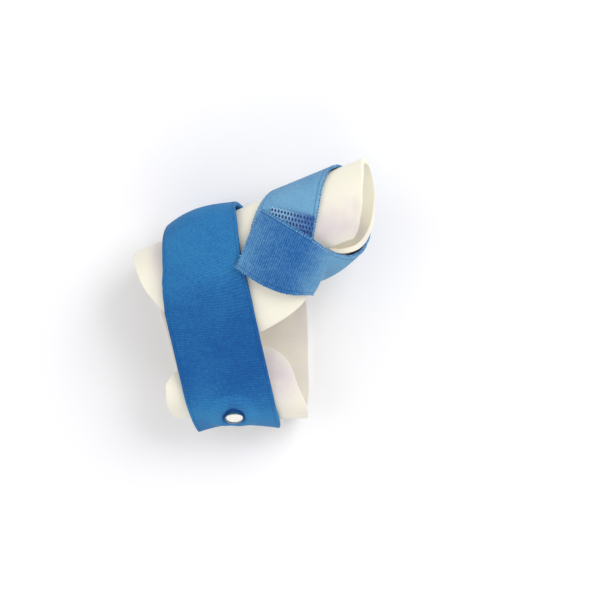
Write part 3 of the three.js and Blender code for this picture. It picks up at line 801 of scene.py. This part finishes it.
def open_mesh():
    """Node group: the distance from the middle of the nearest of staggered long holes, 1 at a hole's rim."""
    sockets = (("Pitch", 1.4), ("Row Pitch", 1.5), ("Hole Width", 0.42), ("Hole Length", 0.54))
    group, given, out, axes, add, links = new_group("open mesh", sockets, "Distance")
    down = add("DIVIDE", axes["Y"], given["Row Pitch"])
    row = add("FLOOR", down)
    shifted = add("ADD", add("DIVIDE", axes["X"], given["Pitch"]), add("MULTIPLY", row, 0.5))
    x = add("MULTIPLY", add("SUBTRACT", add("FRACT", shifted), 0.5), given["Pitch"])
    y = add("MULTIPLY", add("SUBTRACT", add("FRACT", down), 0.5), given["Row Pitch"])
    wide = add("POWER", add("ABSOLUTE", add("DIVIDE", x, given["Hole Width"])), 2.0)
    long = add("POWER", add("ABSOLUTE", add("DIVIDE", y, given["Hole Length"])), 2.0)
    links.new(add("SQRT", add("ADD", wide, long)), out)
    return group


def cloudy(nodes, links, scale, detail, stretch=None):
    """Noise on Object coordinates."""
    cloud = nodes.new("ShaderNodeTexNoise")
    set_inputs(cloud, {"Scale": scale, "Detail": detail})
    source = nodes.new("ShaderNodeTexCoord").outputs["Object"]
    if stretch:
        mapping = nodes.new("ShaderNodeMapping")
        mapping.inputs["Scale"].default_value = stretch
        links.new(source, mapping.inputs["Vector"])
        source = mapping.outputs["Vector"]
    links.new(source, cloud.inputs["Vector"])
    return cloud.outputs["Fac"]


def noise_mask(nodes, links, scale, detail, low, high, stretch=None):
    """A cloudy mask from 0 to 1 between two of the noise's values."""
    return ranged(nodes, links, cloudy(nodes, links, scale, detail, stretch), low, high, 0, 1)


def ranged(nodes, links, source, low, high, start, end):
    """A value carried from one range to another, smoothly."""
    node = nodes.new("ShaderNodeMapRange")
    node.interpolation_type = "SMOOTHSTEP"
    set_inputs(node, {"From Min": low, "From Max": high, "To Min": start, "To Max": end})
    links.new(source, node.inputs["Value"])
    return node.outputs["Result"]


def blended(nodes, links, share, first, second):
    """A colour between two, each a socket or a plain colour, at the share that a socket gives."""
    node = nodes.new("ShaderNodeMix")
    node.data_type = "RGBA"
    for key, value in (("Factor", share), ("A", first), ("B", second)):
        if isinstance(value, tuple):
            node.inputs[key].default_value = (*value, 1)
        else:
            links.new(value, node.inputs[key])
    return node.outputs["Result"]


def bumped(nodes, links, height, strength, distance, before=None):
    """A Bump node on a height in millimetres, over an earlier one if there is one."""
    bump = nodes.new("ShaderNodeBump")
    set_inputs(bump, {"Strength": strength, "Distance": distance * MM})
    links.new(height, bump.inputs["Height"])
    if before:
        links.new(before, bump.inputs["Normal"])
    return bump.outputs["Normal"]


def shell_material(colour):
    """Moulded thermoplastic: cream, with painted lilac shade from the tone attribute and faint random clouds
    of lilac, a satin skin, fine grain and a few rubbed marks.
    """
    material, nodes, links, shader = new_material("moulded cream plastic")
    add = math_nodes(nodes, links)
    # Lilac is the colour of the painted shade on the cream
    lilac = tuple(colour[i] * share for i, share in enumerate((0.73, 0.66, 0.84)))
    warm = tuple(colour[i] * share for i, share in enumerate((1.0, 0.985, 0.93)))
    clouds = noise_mask(nodes, links, 34, 2, 0.42, 0.72)
    stains = noise_mask(nodes, links, 90, 4, 0.55, 0.8)
    marks = noise_mask(nodes, links, 260, 5, 0.66, 0.74, (1, 5, 1))
    patchy = add("MULTIPLY_ADD", noise_mask(nodes, links, 75, 3, 0.3, 0.7), 0.5, 0.75)
    # Painted lilac shade from the tone attribute, broken up by noise, over faint random clouds of lilac
    painted_lilac = add("MULTIPLY_ADD", clouds, 0.14, add("MULTIPLY", attribute(nodes, "tone"), patchy))
    tint = blended(nodes, links, painted_lilac, tuple(colour), lilac)
    tint = blended(nodes, links, add("MULTIPLY", stains, 0.5), tint, warm)
    tint = blended(nodes, links, add("MULTIPLY", marks, 0.12), tint, (0.35, 0.33, 0.32))
    links.new(tint, shader.inputs["Base Color"])
    links.new(ranged(nodes, links, stains, 0, 1, 0.42, 0.56), shader.inputs["Roughness"])
    rolled = bumped(nodes, links, noise_mask(nodes, links, 120, 2, 0.2, 0.8), 0.35, 0.25)
    grain = bumped(nodes, links, cloudy(nodes, links, 950, 2), 0.25, 0.08, rolled)
    links.new(bumped(nodes, links, marks, 0.2, 0.04, grain), shader.inputs["Normal"])
    shader.inputs["Specular IOR Level"].default_value = 0.4
    return material


WRIST_CLOTH = {
    "ribs": {"Rib Pitch": 1.15, "Yarn Pitch": 0.6, "Yarn Depth": 0.5},
    "lines": {"Strap Width": WRIST_STRAP_WIDTH, "Inset": 1.5, "Line Width": 0.45},
    "line depth": 0.22,
    "contrast": 0.2,
    "slubs": 0.25,
    "bump": 0.08,
    "sheen": 0.04,
    "pale": srgb(50, 130, 182),
    "edge": srgb(4, 56, 112),
}
THUMB_CLOTH = {
    "ribs": {"Rib Pitch": 0.92, "Yarn Pitch": 0.85, "Yarn Depth": 0.9},
    "lines": {"Strap Width": THUMB_STRAP_WIDTH, "Inset": 1.5, "Line Width": 0.35},
    "line depth": 0.5,
    "contrast": 0.3,
    "slubs": 0.2,
    "bump": 0.16,
    "sheen": 0.06,
    "pale": srgb(118, 172, 204),
    "edge": srgb(20, 84, 146),
}


def strap_material(name, deep, cloth, ribs, lines):
    """Dyed strap cloth: ribs across it, lighter and darker by the tone attribute, which holds painted light
    and shade, darker between the ribs, edge lines.
    """
    material, nodes, links, shader = new_material(name)
    add = math_nodes(nodes, links)
    weave = grouped(nodes, ribs, cloth["ribs"])
    edge_line = grouped(nodes, lines, cloth["lines"])
    cloud = noise_mask(nodes, links, 60, 4, 0.3, 0.7)
    slubs = noise_mask(nodes, links, 900, 3, 0.3, 0.7)
    # The tone attribute brings in the painted light and shade
    pale = add("MULTIPLY_ADD", cloud, 0.16, add("SUBTRACT", attribute(nodes, "tone"), 0.08))
    pale = add("MULTIPLY_ADD", add("SUBTRACT", slubs, 0.5), cloth["slubs"], pale)
    pale = add("MULTIPLY_ADD", add("SUBTRACT", weave, 0.5), cloth["contrast"], pale)
    tint = blended(nodes, links, ranged(nodes, links, pale, -0.1, 1.1, 0, 1), deep, cloth["pale"])
    tint = blended(nodes, links, add("MULTIPLY", edge_line, cloth["line depth"]), tint, cloth["edge"])
    links.new(tint, shader.inputs["Base Color"])
    links.new(ranged(nodes, links, slubs, 0, 1, 0.68, 0.86), shader.inputs["Roughness"])
    fuzz = bumped(nodes, links, slubs, 0.5, 0.08)
    woven = bumped(nodes, links, weave, 0.7, cloth["bump"], fuzz)
    grooved = bumped(nodes, links, add("SUBTRACT", 1.0, edge_line), 0.8, 0.2, woven)
    links.new(grooved, shader.inputs["Normal"])
    set_inputs(
        shader,
        {
            "Specular IOR Level": 0.22,
            "Sheen Weight": cloth["sheen"],
            "Sheen Roughness": 0.4,
            "Sheen Tint": (0.75, 0.87, 1, 1),
        },
    )
    return material


def hook_material(pale, deep, hole):
    """Open hook tape: staggered rows of long holes between pale ribs, the holes painted dark as the strap
    seen through them in painted shade, and deeper where the tone is low, which on the thumb patch is painted
    shade.
    """
    material, nodes, links, shader = new_material("open hook tape")
    sizes = {"Pitch": 1.4, "Row Pitch": 1.5, "Hole Width": 0.42, "Hole Length": 0.54}
    holes = grouped(nodes, open_mesh(), sizes)
    slubs = noise_mask(nodes, links, 700, 3, 0.3, 0.7)
    shade = math_nodes(nodes, links)("MULTIPLY_ADD", slubs, 0.25, attribute(nodes, "tone"))
    tint = blended(nodes, links, ranged(nodes, links, shade, 0.1, 1.1, 0, 1), deep, pale)
    rim = ranged(nodes, links, holes, 0.75, 1.25, 0, 1)
    # The holes: the strap beneath, darkened with painted shade
    tint = blended(nodes, links, rim, hole, tint)
    links.new(tint, shader.inputs["Base Color"])
    links.new(bumped(nodes, links, rim, 1.0, 0.6), shader.inputs["Normal"])
    links.new(ranged(nodes, links, slubs, 0, 1, 0.55, 0.75), shader.inputs["Roughness"])
    shader.inputs["Sheen Weight"].default_value = 0.15
    return material


def yarn_material(name, deep, pale):
    """Twisted yarn of the selvedge, stitches and frayed end."""
    material, nodes, links, shader = new_material(name)
    twist = noise_mask(nodes, links, 1400, 2, 0.35, 0.65)
    links.new(blended(nodes, links, twist, deep, pale), shader.inputs["Base Color"])
    links.new(ranged(nodes, links, twist, 0, 1, 0.85, 0.7), shader.inputs["Roughness"])
    links.new(bumped(nodes, links, twist, 0.5, 0.1), shader.inputs["Normal"])
    shader.inputs["Sheen Weight"].default_value = 0.2
    return material


def rivet_material(colour, rim):
    """Smooth rivet plastic with a soft gloss and faint turning marks, and painted dark teal shade round an
    off-centre oval face.
    """
    material, nodes, links, shader = new_material("rivet plastic")
    oval = nodes.new("ShaderNodeMapping")
    oval.vector_type = "TEXTURE"
    set_inputs(oval, {"Location": (0.06, 0.2, 0), "Scale": (0.88, 0.64, 1)})
    reach = nodes.new("ShaderNodeVectorMath")
    reach.operation = "LENGTH"
    links.new(attribute(nodes, "head place", "Vector"), oval.inputs["Vector"])
    links.new(oval.outputs["Vector"], reach.inputs[0])
    # Painted shade round the oval face
    edge = ranged(nodes, links, reach.outputs["Value"], 0.9, 1.08, 0, 1)
    links.new(blended(nodes, links, edge, colour, rim), shader.inputs["Base Color"])
    rough = math_nodes(nodes, links)("MULTIPLY_ADD", cloudy(nodes, links, 700, 2), 0.12, 0.22)
    links.new(rough, shader.inputs["Roughness"])
    shader.inputs["Coat Weight"].default_value = 0.3
    return material


# Settings


class SplintSettings(bpy.types.PropertyGroup):
    """Sizes and colours of the splint that a user would change."""

    shell_colour: FloatVectorProperty(
        name="Shell Colour",
        description="Colour of the moulded sheet",
        subtype="COLOR",
        size=3,
        min=0,
        max=1,
        default=srgb(240, 236, 216),
    )
    wrist_strap_colour: FloatVectorProperty(
        name="Wrist Strap Colour",
        description="Colour of the wide strap",
        subtype="COLOR",
        size=3,
        min=0,
        max=1,
        default=srgb(3, 74, 142),
    )
    thumb_strap_colour: FloatVectorProperty(
        name="Thumb Strap Colour",
        description="Colour of the narrow woven strap",
        subtype="COLOR",
        size=3,
        min=0,
        max=1,
        default=srgb(6, 84, 150),
    )
    rivet_radius: FloatProperty(
        name="Rivet Radius",
        description="Radius of the rivet's head",
        unit="LENGTH",
        min=0.003,
        max=0.007,
        default=0.0042,
    )
    rivet_height: FloatProperty(
        name="Rivet Height",
        description="How far the rivet's head stands off the strap",
        unit="LENGTH",
        min=0.0005,
        max=0.003,
        default=0.001,
    )
    shell_edge: FloatProperty(
        name="Shell Edge",
        description="Rounding of the sheet's cut edge",
        unit="LENGTH",
        min=0.0001,
        max=0.0011,
        default=0.0008,
    )


def band_rows(facets):
    """Row values with the facets of each band spread evenly."""
    return [0.0] + [band + (i + 1) / count for band, count in enumerate(facets) for i in range(count)]


def path_lengths(point_at, places):
    """How far along a path each of its places lies, in millimetres."""
    lengths = [0.0]
    for start, end in zip(places, places[1:]):
        lengths.append(lengths[-1] + (point_at(end) - point_at(start)).length)
    return lengths


class MakeShell(bpy.types.Operator):
    """Build the moulded shell: the hand part, the thumb wrap and the web flap under it"""

    bl_idname = "splint.make_shell"
    bl_label = "Moulded Shell"

    def execute(self, context):
        settings = context.scene.splint
        bm = bmesh.new()
        rows = band_rows(FACETS)
        first_wrap_row = rows.index(SLOPE_END)
        wrap_rows = rows[first_wrap_row:]

        def hand_place(u, v):
            row = rows[round(u * (len(rows) - 1))]
            wrist = read(WRIST_EDGE, 1, row)
            finger = read(FINGER_EDGE, 1, row) if row < SLOPE_END else WEB
            edge = RADIAL_LENGTH * mix(read(WRIST_EDGE, 1, PALM_EDGE), WEB, v)
            wing = WING_REACH * read(WING_OUTLINE, 1, v)
            return sheet_point(row, RADIAL_LENGTH * mix(wrist, finger, v), wing, palm_turn(edge))

        def wrap_place(u, v):
            row = wrap_rows[round(u * (len(wrap_rows) - 1))]
            along = RADIAL_LENGTH * mix(WEB, read(THUMB_RIM, 1, row), v)
            edge = RADIAL_LENGTH * mix(WEB, read(THUMB_RIM, 1, PALM_EDGE), v)
            return sheet_point(row, along, 0, palm_turn(edge))

        def flap_place(u, v):
            share = 1 - u
            along = mix(read(WEB_FLAP, 1, share), read(WEB_FLAP, 2, share), v)
            return flap_point(share, RADIAL_LENGTH * along)

        grid_sheet(bm, len(rows) - 1, HAND_COLUMNS, hand_place)
        grid_sheet(bm, len(wrap_rows) - 1, WRAP_COLUMNS, wrap_place)
        grid_sheet(bm, FLAP_STEPS, WRAP_COLUMNS, flap_place)
        bmesh.ops.remove_doubles(bm, verts=bm.verts, dist=0.00002)
        uneven(bm)
        paint_lilac_shade(bm)
        for mark in DENTS:
            dent(bm, *mark)
        material = shell_material(settings.shell_colour)
        piece = finish_piece(bm, "moulded_shell", [material], wall(-SHEET, settings.shell_edge / MM))
        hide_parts("splint_shell")
        return {"FINISHED"}


class MakeStraps(bpy.types.Operator):
    """Build the riveted wrist strap and the woven thumb strap"""

    bl_idname = "splint.make_straps"
    bl_label = "Straps"

    def execute(self, context):
        settings = context.scene.splint
        ribs, lines = woven_ribs(), edge_lines()
        wrist_blue, thumb_blue = tuple(settings.wrist_strap_colour), tuple(settings.thumb_strap_colour)
        self.make_wrist_strap(strap_material("soft ribbed strap", wrist_blue, WRIST_CLOTH, ribs, lines))
        self.make_thumb_strap(strap_material("woven elastic", thumb_blue, THUMB_CLOTH, ribs, lines))
        return {"FINISHED"}

    def make_wrist_strap(self, material):
        """The wide strap, from its riveted end to its free end"""
        stops = [0.0]
        for band, steps in enumerate(WRIST_STRAP_FACETS):
            stops += [band + (i + 1) / steps * min(1, STRAP_STOP - band) for i in range(steps)]
        lengths = path_lengths(lambda place: wrist_strap_point(0, place), stops)

        def stop_at(v):
            return round(v * (len(stops) - 1))

        def place(u, v):
            return wrist_strap_point(2 * u - 1, stops[stop_at(v)])

        def uv(u, v):
            return u * WRIST_STRAP_WIDTH, lengths[stop_at(v)]

        # Painted light and shade along the wrist strap
        def tone(u, v):
            stop = stops[stop_at(v)]
            return mix(read(WRIST_STRAP_PAINTED_SHADING, 1, stop), read(WRIST_STRAP_PAINTED_SHADING, 2, stop), u)

        bm = bmesh.new()
        grid_sheet(bm, WRIST_STRAP_COLUMNS, len(stops) - 1, place, uv, tone)
        pucker(bm)
        wrist = finish_piece(bm, "wide_wrist_strap", [material], wall(WRIST_STRAP_THICKNESS, 0.55))
        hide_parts("wrist_strap")

    def make_thumb_strap(self, material):
        """The narrow strap, its selvedge and its frayed end"""
        steps = THUMB_STRAP_STEPS
        rows = [mix(THUMB_STRAP_START, THUMB_STRAP_STOP, i / steps) for i in range(steps + 1)]
        lengths = path_lengths(lambda row: thumb_strap_point(row, 0, 0), rows)

        def place(u, v):
            return thumb_strap_point(rows[round(v * steps)], 2 * u - 1, 0)

        def uv(u, v):
            return u * THUMB_STRAP_WIDTH, lengths[round(v * steps)]

        # Painted light and shade along the thumb strap
        def tone(u, v):
            return read(THUMB_STRAP_PAINTED_SHADING, 1, rows[round(v * steps)])

        bm = bmesh.new()
        grid_sheet(bm, THUMB_STRAP_COLUMNS, steps, place, uv, tone)
        thumb = finish_piece(bm, "woven_thumb_strap", [material], wall(THUMB_STRAP_THICKNESS, 0.4))
        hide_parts("thumb_strap")
        loops = selvedge_loops(rows)
        yarns = frayed_end()


def strap_axes(row, side, lift):
    """A point of the thumb strap off its inner face, and its ways along, across and out there."""
    step, here = 0.04, thumb_strap_point(row, side, lift)
    along = thumb_strap_point(row + step, side, lift) - thumb_strap_point(row - step, side, lift)
    across = thumb_strap_point(row, side + step, lift) - thumb_strap_point(row, side - step, lift)
    along.normalize()
    out = across.cross(along).normalized()
    if out.dot(thumb_strap_point(row, side, lift + 1) - here) < 0:
        out.negate()
    return here + ORIGIN, along, along.cross(out).normalized(), out


def bead_at(bm, place, axes, size, slot):
    """A small rounded bead of yarn in a bmesh, turned to three axes."""
    turn = Matrix([[axis[i] for axis in axes] for i in range(3)]).to_4x4()
    scale = Matrix.Diagonal((*size, 1))
    matrix = Matrix.Scale(MM, 4) @ Matrix.Translation(place) @ turn @ scale
    before = len(bm.faces)
    bmesh.ops.create_uvsphere(bm, u_segments=8, v_segments=6, radius=1, matrix=matrix)
    bm.faces.ensure_lookup_table()
    for face in bm.faces[before:]:
        face.smooth = True
        face.material_index = slot


def selvedge_loops(rows):
    """Loops of yarn on both edges of the thumb strap, and pale stitches inside those of its finger side."""
    bm = bmesh.new()
    for side in (-1, 1):
        walked, last, due = 0.0, None, 0.0
        for row in rows:
            for part in range(4):
                at = row + part / 4 * (rows[1] - rows[0])
                if at > rows[-1]:
                    break
                place, along, across, out = strap_axes(at, side, 0)
                walked += (place - last).length if last else 0.0
                last = place
                if walked < due:
                    continue
                due += SELVEDGE_PITCH
                outward = across if (strap_axes(at, side * 0.9, 0)[0] - place).dot(across) < 0 else -across
                middle = place + out * THUMB_STRAP_THICKNESS * 0.55 - outward * 0.05
                bead_at(bm, middle, (along, across, out), SELVEDGE_BEAD, 0)
                if side == 1:
                    stitch = place + out * (THUMB_STRAP_THICKNESS + 0.02) - outward * STITCH_INSET
                    bead_at(bm, stitch, (along, across, out), STITCH_BEAD, 1)
    bmesh.ops.recalc_face_normals(bm, faces=bm.faces)
    dyed = yarn_material("selvedge yarn", srgb(30, 96, 156), srgb(104, 162, 202))
    thread = yarn_material("pale stitching", srgb(88, 146, 190), srgb(142, 186, 214))
    loops = finish_piece(bm, "thumb_strap_selvedge", [dyed, thread])
    return loops


def frayed_end():
    """Short yarn ends along the cut end of the thumb strap, longest at its wrist side corner."""
    bm = bmesh.new()
    draw = random.Random(7)
    for i in range(FRAYED_YARNS):
        side = mix(-0.99, 0.99, (i + draw.random() * 0.6) / FRAYED_YARNS)
        place, along, across, out = strap_axes(THUMB_STRAP_STOP - 0.05, side, 0)
        reach = 0.25 + 0.35 * draw.random() + 1.3 * max(0, -side - 0.8) * 5 * draw.random()
        lean = along + across * (draw.random() - 0.5) * 0.9 + out * (draw.random() - 0.6) * 0.7
        lean.normalize()
        start = place + out * mix(0.3, THUMB_STRAP_THICKNESS - 0.2, draw.random()) + along * 0.35
        turn = Vector((0, 0, 1)).rotation_difference(lean).to_matrix().to_4x4()
        matrix = Matrix.Scale(MM, 4) @ Matrix.Translation(start + lean * reach / 2) @ turn
        bmesh.ops.create_cone(
            bm, cap_ends=True, segments=6, radius1=0.2, radius2=0.07, depth=reach + 0.5, matrix=matrix
        )
    for face in bm.faces:
        face.smooth = True
    bmesh.ops.recalc_face_normals(bm, faces=bm.faces)
    yarn = yarn_material("frayed yarn", srgb(44, 112, 168), srgb(138, 186, 216))
    ends = finish_piece(bm, "thumb_strap_frayed_end", [yarn])
    return ends


class MakeHookTapes(bpy.types.Operator):
    """Build the hook patch on the thumb strap and the hook pad under the wrist strap's free end"""

    bl_idname = "splint.make_hook_tapes"
    bl_label = "Hook Tapes"

    def execute(self, context):
        # The last colour is the holes, painted dark with the shade inside them
        material = hook_material(srgb(134, 186, 218), srgb(12, 84, 158), srgb(4, 54, 112))
        start, end, wrist_side, finger_side = HOOK_PATCH
        bm = bmesh.new()

        def patch_place(u, v):
            lift = THUMB_STRAP_THICKNESS + LAYER_GAP
            return thumb_strap_point(mix(start, end, v), mix(wrist_side, finger_side, u), lift)

        # Painted light on the patch's wrist side, fading to painted shade on its finger side
        def patch_painted_shading(u, v):
            return 0.95 - 0.9 * u

        grid_sheet(bm, 18, 18, patch_place, lambda u, v: (u * 19, v * 17), patch_painted_shading)
        patch = finish_piece(bm, "thumb_hook_tape", [material], wall(HOOK_THICKNESS, 0.3))
        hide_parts("thumb_hook_patch")

        bm = bmesh.new()

        def pad_place(u, v):
            side = (2 * u - 1) * (1 - 2 * HOOK_PAD_MARGIN / WRIST_STRAP_WIDTH)
            return hook_pad_point(side, mix(*HOOK_PAD, v))

        grid_sheet(bm, 14, 14, pad_place, lambda u, v: (u * 32, v * 17))
        pad = finish_piece(bm, "wrist_hook_tape", [material], wall(HOOK_THICKNESS, 0.3))
        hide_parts("wrist_hook_pad")
        return {"FINISHED"}


class MakeRivet(bpy.types.Operator):
    """Build the domed rivet that holds the wrist strap to the ulnar side"""

    bl_idname = "splint.make_rivet"
    bl_label = "Strap Rivet"

    def execute(self, context):
        settings = context.scene.splint
        foot, axis = rivet_axis()
        seat = SEAT_GAP + WRIST_STRAP_THICKNESS + RIVET_CLEARANCE
        radius, height = settings.rivet_radius / MM, settings.rivet_height / MM
        bulge = RIVET_TAIL_RADIUS**2 / (2 * (ULNAR_RADIUS - SHEET))
        tail = -SHEET - bulge - 2 * RIVET_CLEARANCE
        profile = [
            (0, tail - RIVET_TAIL_HEIGHT),
            (RIVET_TAIL_RADIUS * 0.9, tail - RIVET_TAIL_HEIGHT),
            (RIVET_TAIL_RADIUS, tail - RIVET_TAIL_HEIGHT / 2),
            (RIVET_TAIL_RADIUS * 0.95, tail),
            (RIVET_SHANK_RADIUS, tail),
            (RIVET_SHANK_RADIUS, seat),
            (radius * 0.96, seat),
            (radius, seat + height * 0.2),
            (radius * 0.93, seat + height * 0.5),
            (radius * 0.75, seat + height * 0.8),
            (radius * 0.4, seat + height * 0.97),
            (0, seat + height),
        ]
        bm = bmesh.new()
        line = [bm.verts.new((x, 0, z)) for x, z in profile]
        edges = [bm.edges.new(pair) for pair in zip(line, line[1:])]
        bmesh.ops.spin(
            bm,
            geom=line + edges,
            cent=(0, 0, 0),
            axis=(0, 0, 1),
            angle=2 * math.pi,
            steps=RIVET_STEPS,
            use_merge=True,
        )
        bmesh.ops.remove_doubles(bm, verts=bm.verts, dist=0.001)
        bmesh.ops.recalc_face_normals(bm, faces=bm.faces)
        face_place = bm.verts.layers.float_vector.new("head place")
        for vert in bm.verts:
            vert[face_place] = (vert.co.x / radius, vert.co.y / radius, 0)
        turn = Vector((0, 0, 1)).rotation_difference(axis).to_matrix().to_4x4()
        place = Matrix.Scale(MM, 4) @ Matrix.Translation(foot) @ turn
        bmesh.ops.transform(bm, matrix=place, verts=bm.verts)
        for face in bm.faces:
            face.smooth = True
        # Cream plastic, and the dark teal of the painted shade round its face
        material = rivet_material(srgb(244, 242, 232), srgb(22, 74, 104))
        smoothed = ("SUBSURF", {"levels": 1, "render_levels": 1})
        rivet = finish_piece(bm, "domed_rivet", [material], [smoothed])
        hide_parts("strap_rivet")
        return {"FINISHED"}


class MakeStudio(bpy.types.Operator):
    """Set the pale floor, the soft lights, the camera and the sky"""

    bl_idname = "splint.make_studio"
    bl_label = "Studio"

    def execute(self, context):
        scene = context.scene
        bm = bmesh.new()
        bmesh.ops.create_grid(bm, x_segments=8, y_segments=8, size=FLOOR_HALF)
        mesh = bpy.data.meshes.new("pale_floor")
        bm.to_mesh(mesh)
        bm.free()
        material, _, _, shader = new_material("pale floor")
        set_inputs(shader, {"Base Color": (0.9, 0.9, 0.9, 1), "Roughness": 0.6})
        mesh.materials.append(material)
        floor = bpy.data.objects.new("pale_floor", mesh)
        floor.location.z = -FLOOR_DROP
        scene.collection.objects.link(floor)

        for name, place, size, power in LIGHTS:
            light = bpy.data.lights.new(name, "AREA")
            light.size = size
            light.energy = power
            lamp = bpy.data.objects.new(name, light)
            lamp.location = place
            lamp.rotation_euler = (LIT_PLACE - Vector(place)).to_track_quat("-Z", "Y").to_euler()
            scene.collection.objects.link(lamp)

        world = bpy.data.worlds.new("soft white room")
        world.use_nodes = True
        set_inputs(world.node_tree.nodes["Background"], {"Color": ROOM_COLOUR, "Strength": ROOM_LIGHT})
        scene.world = world
        scene.view_settings.view_transform = "Standard"

        lens = bpy.data.cameras.new("camera")
        lens.sensor_width = SENSOR_WIDTH
        lens.lens = SENSOR_WIDTH * CAMERA_DISTANCE / (PICTURE_PIXELS * PIXEL)
        camera = bpy.data.objects.new("camera", lens)
        camera.location = VIEWED_PLACE + Vector((0, 0, CAMERA_DISTANCE))
        scene.collection.objects.link(camera)
        scene.camera = camera
        return {"FINISHED"}


class SplintPanel(bpy.types.Panel):
    """Buttons and settings of the splint in the sidebar"""

    bl_idname = "VIEW3D_PT_splint"
    bl_label = "Thumb Splint"
    bl_space_type = "VIEW_3D"
    bl_region_type = "UI"
    bl_category = "Splint"

    def draw(self, context):
        settings = context.scene.splint
        for key in settings.bl_rna.properties.keys():
            if key not in ("rna_type", "name"):
                self.layout.prop(settings, key)
        for operator in OPERATORS:
            self.layout.operator(operator.bl_idname)


OPERATORS = (MakeStudio, MakeShell, MakeStraps, MakeHookTapes, MakeRivet)
CLASSES = (SplintSettings, *OPERATORS, SplintPanel)


def register():
    """Adds the settings, the operators and the panel."""
    for cls in CLASSES:
        bpy.utils.register_class(cls)
    bpy.types.Scene.splint = PointerProperty(type=SplintSettings)


def unregister():
    """Takes them away again."""
    del bpy.types.Scene.splint
    for cls in reversed(CLASSES):
        bpy.utils.unregister_class(cls)


def main():
    """Builds the studio and the splint."""
    register()
    bpy.ops.splint.make_studio()
    bpy.ops.splint.make_shell()
    bpy.ops.splint.make_straps()
    bpy.ops.splint.make_hook_tapes()
    bpy.ops.splint.make_rivet()


if __name__ == "__main__":
    main()
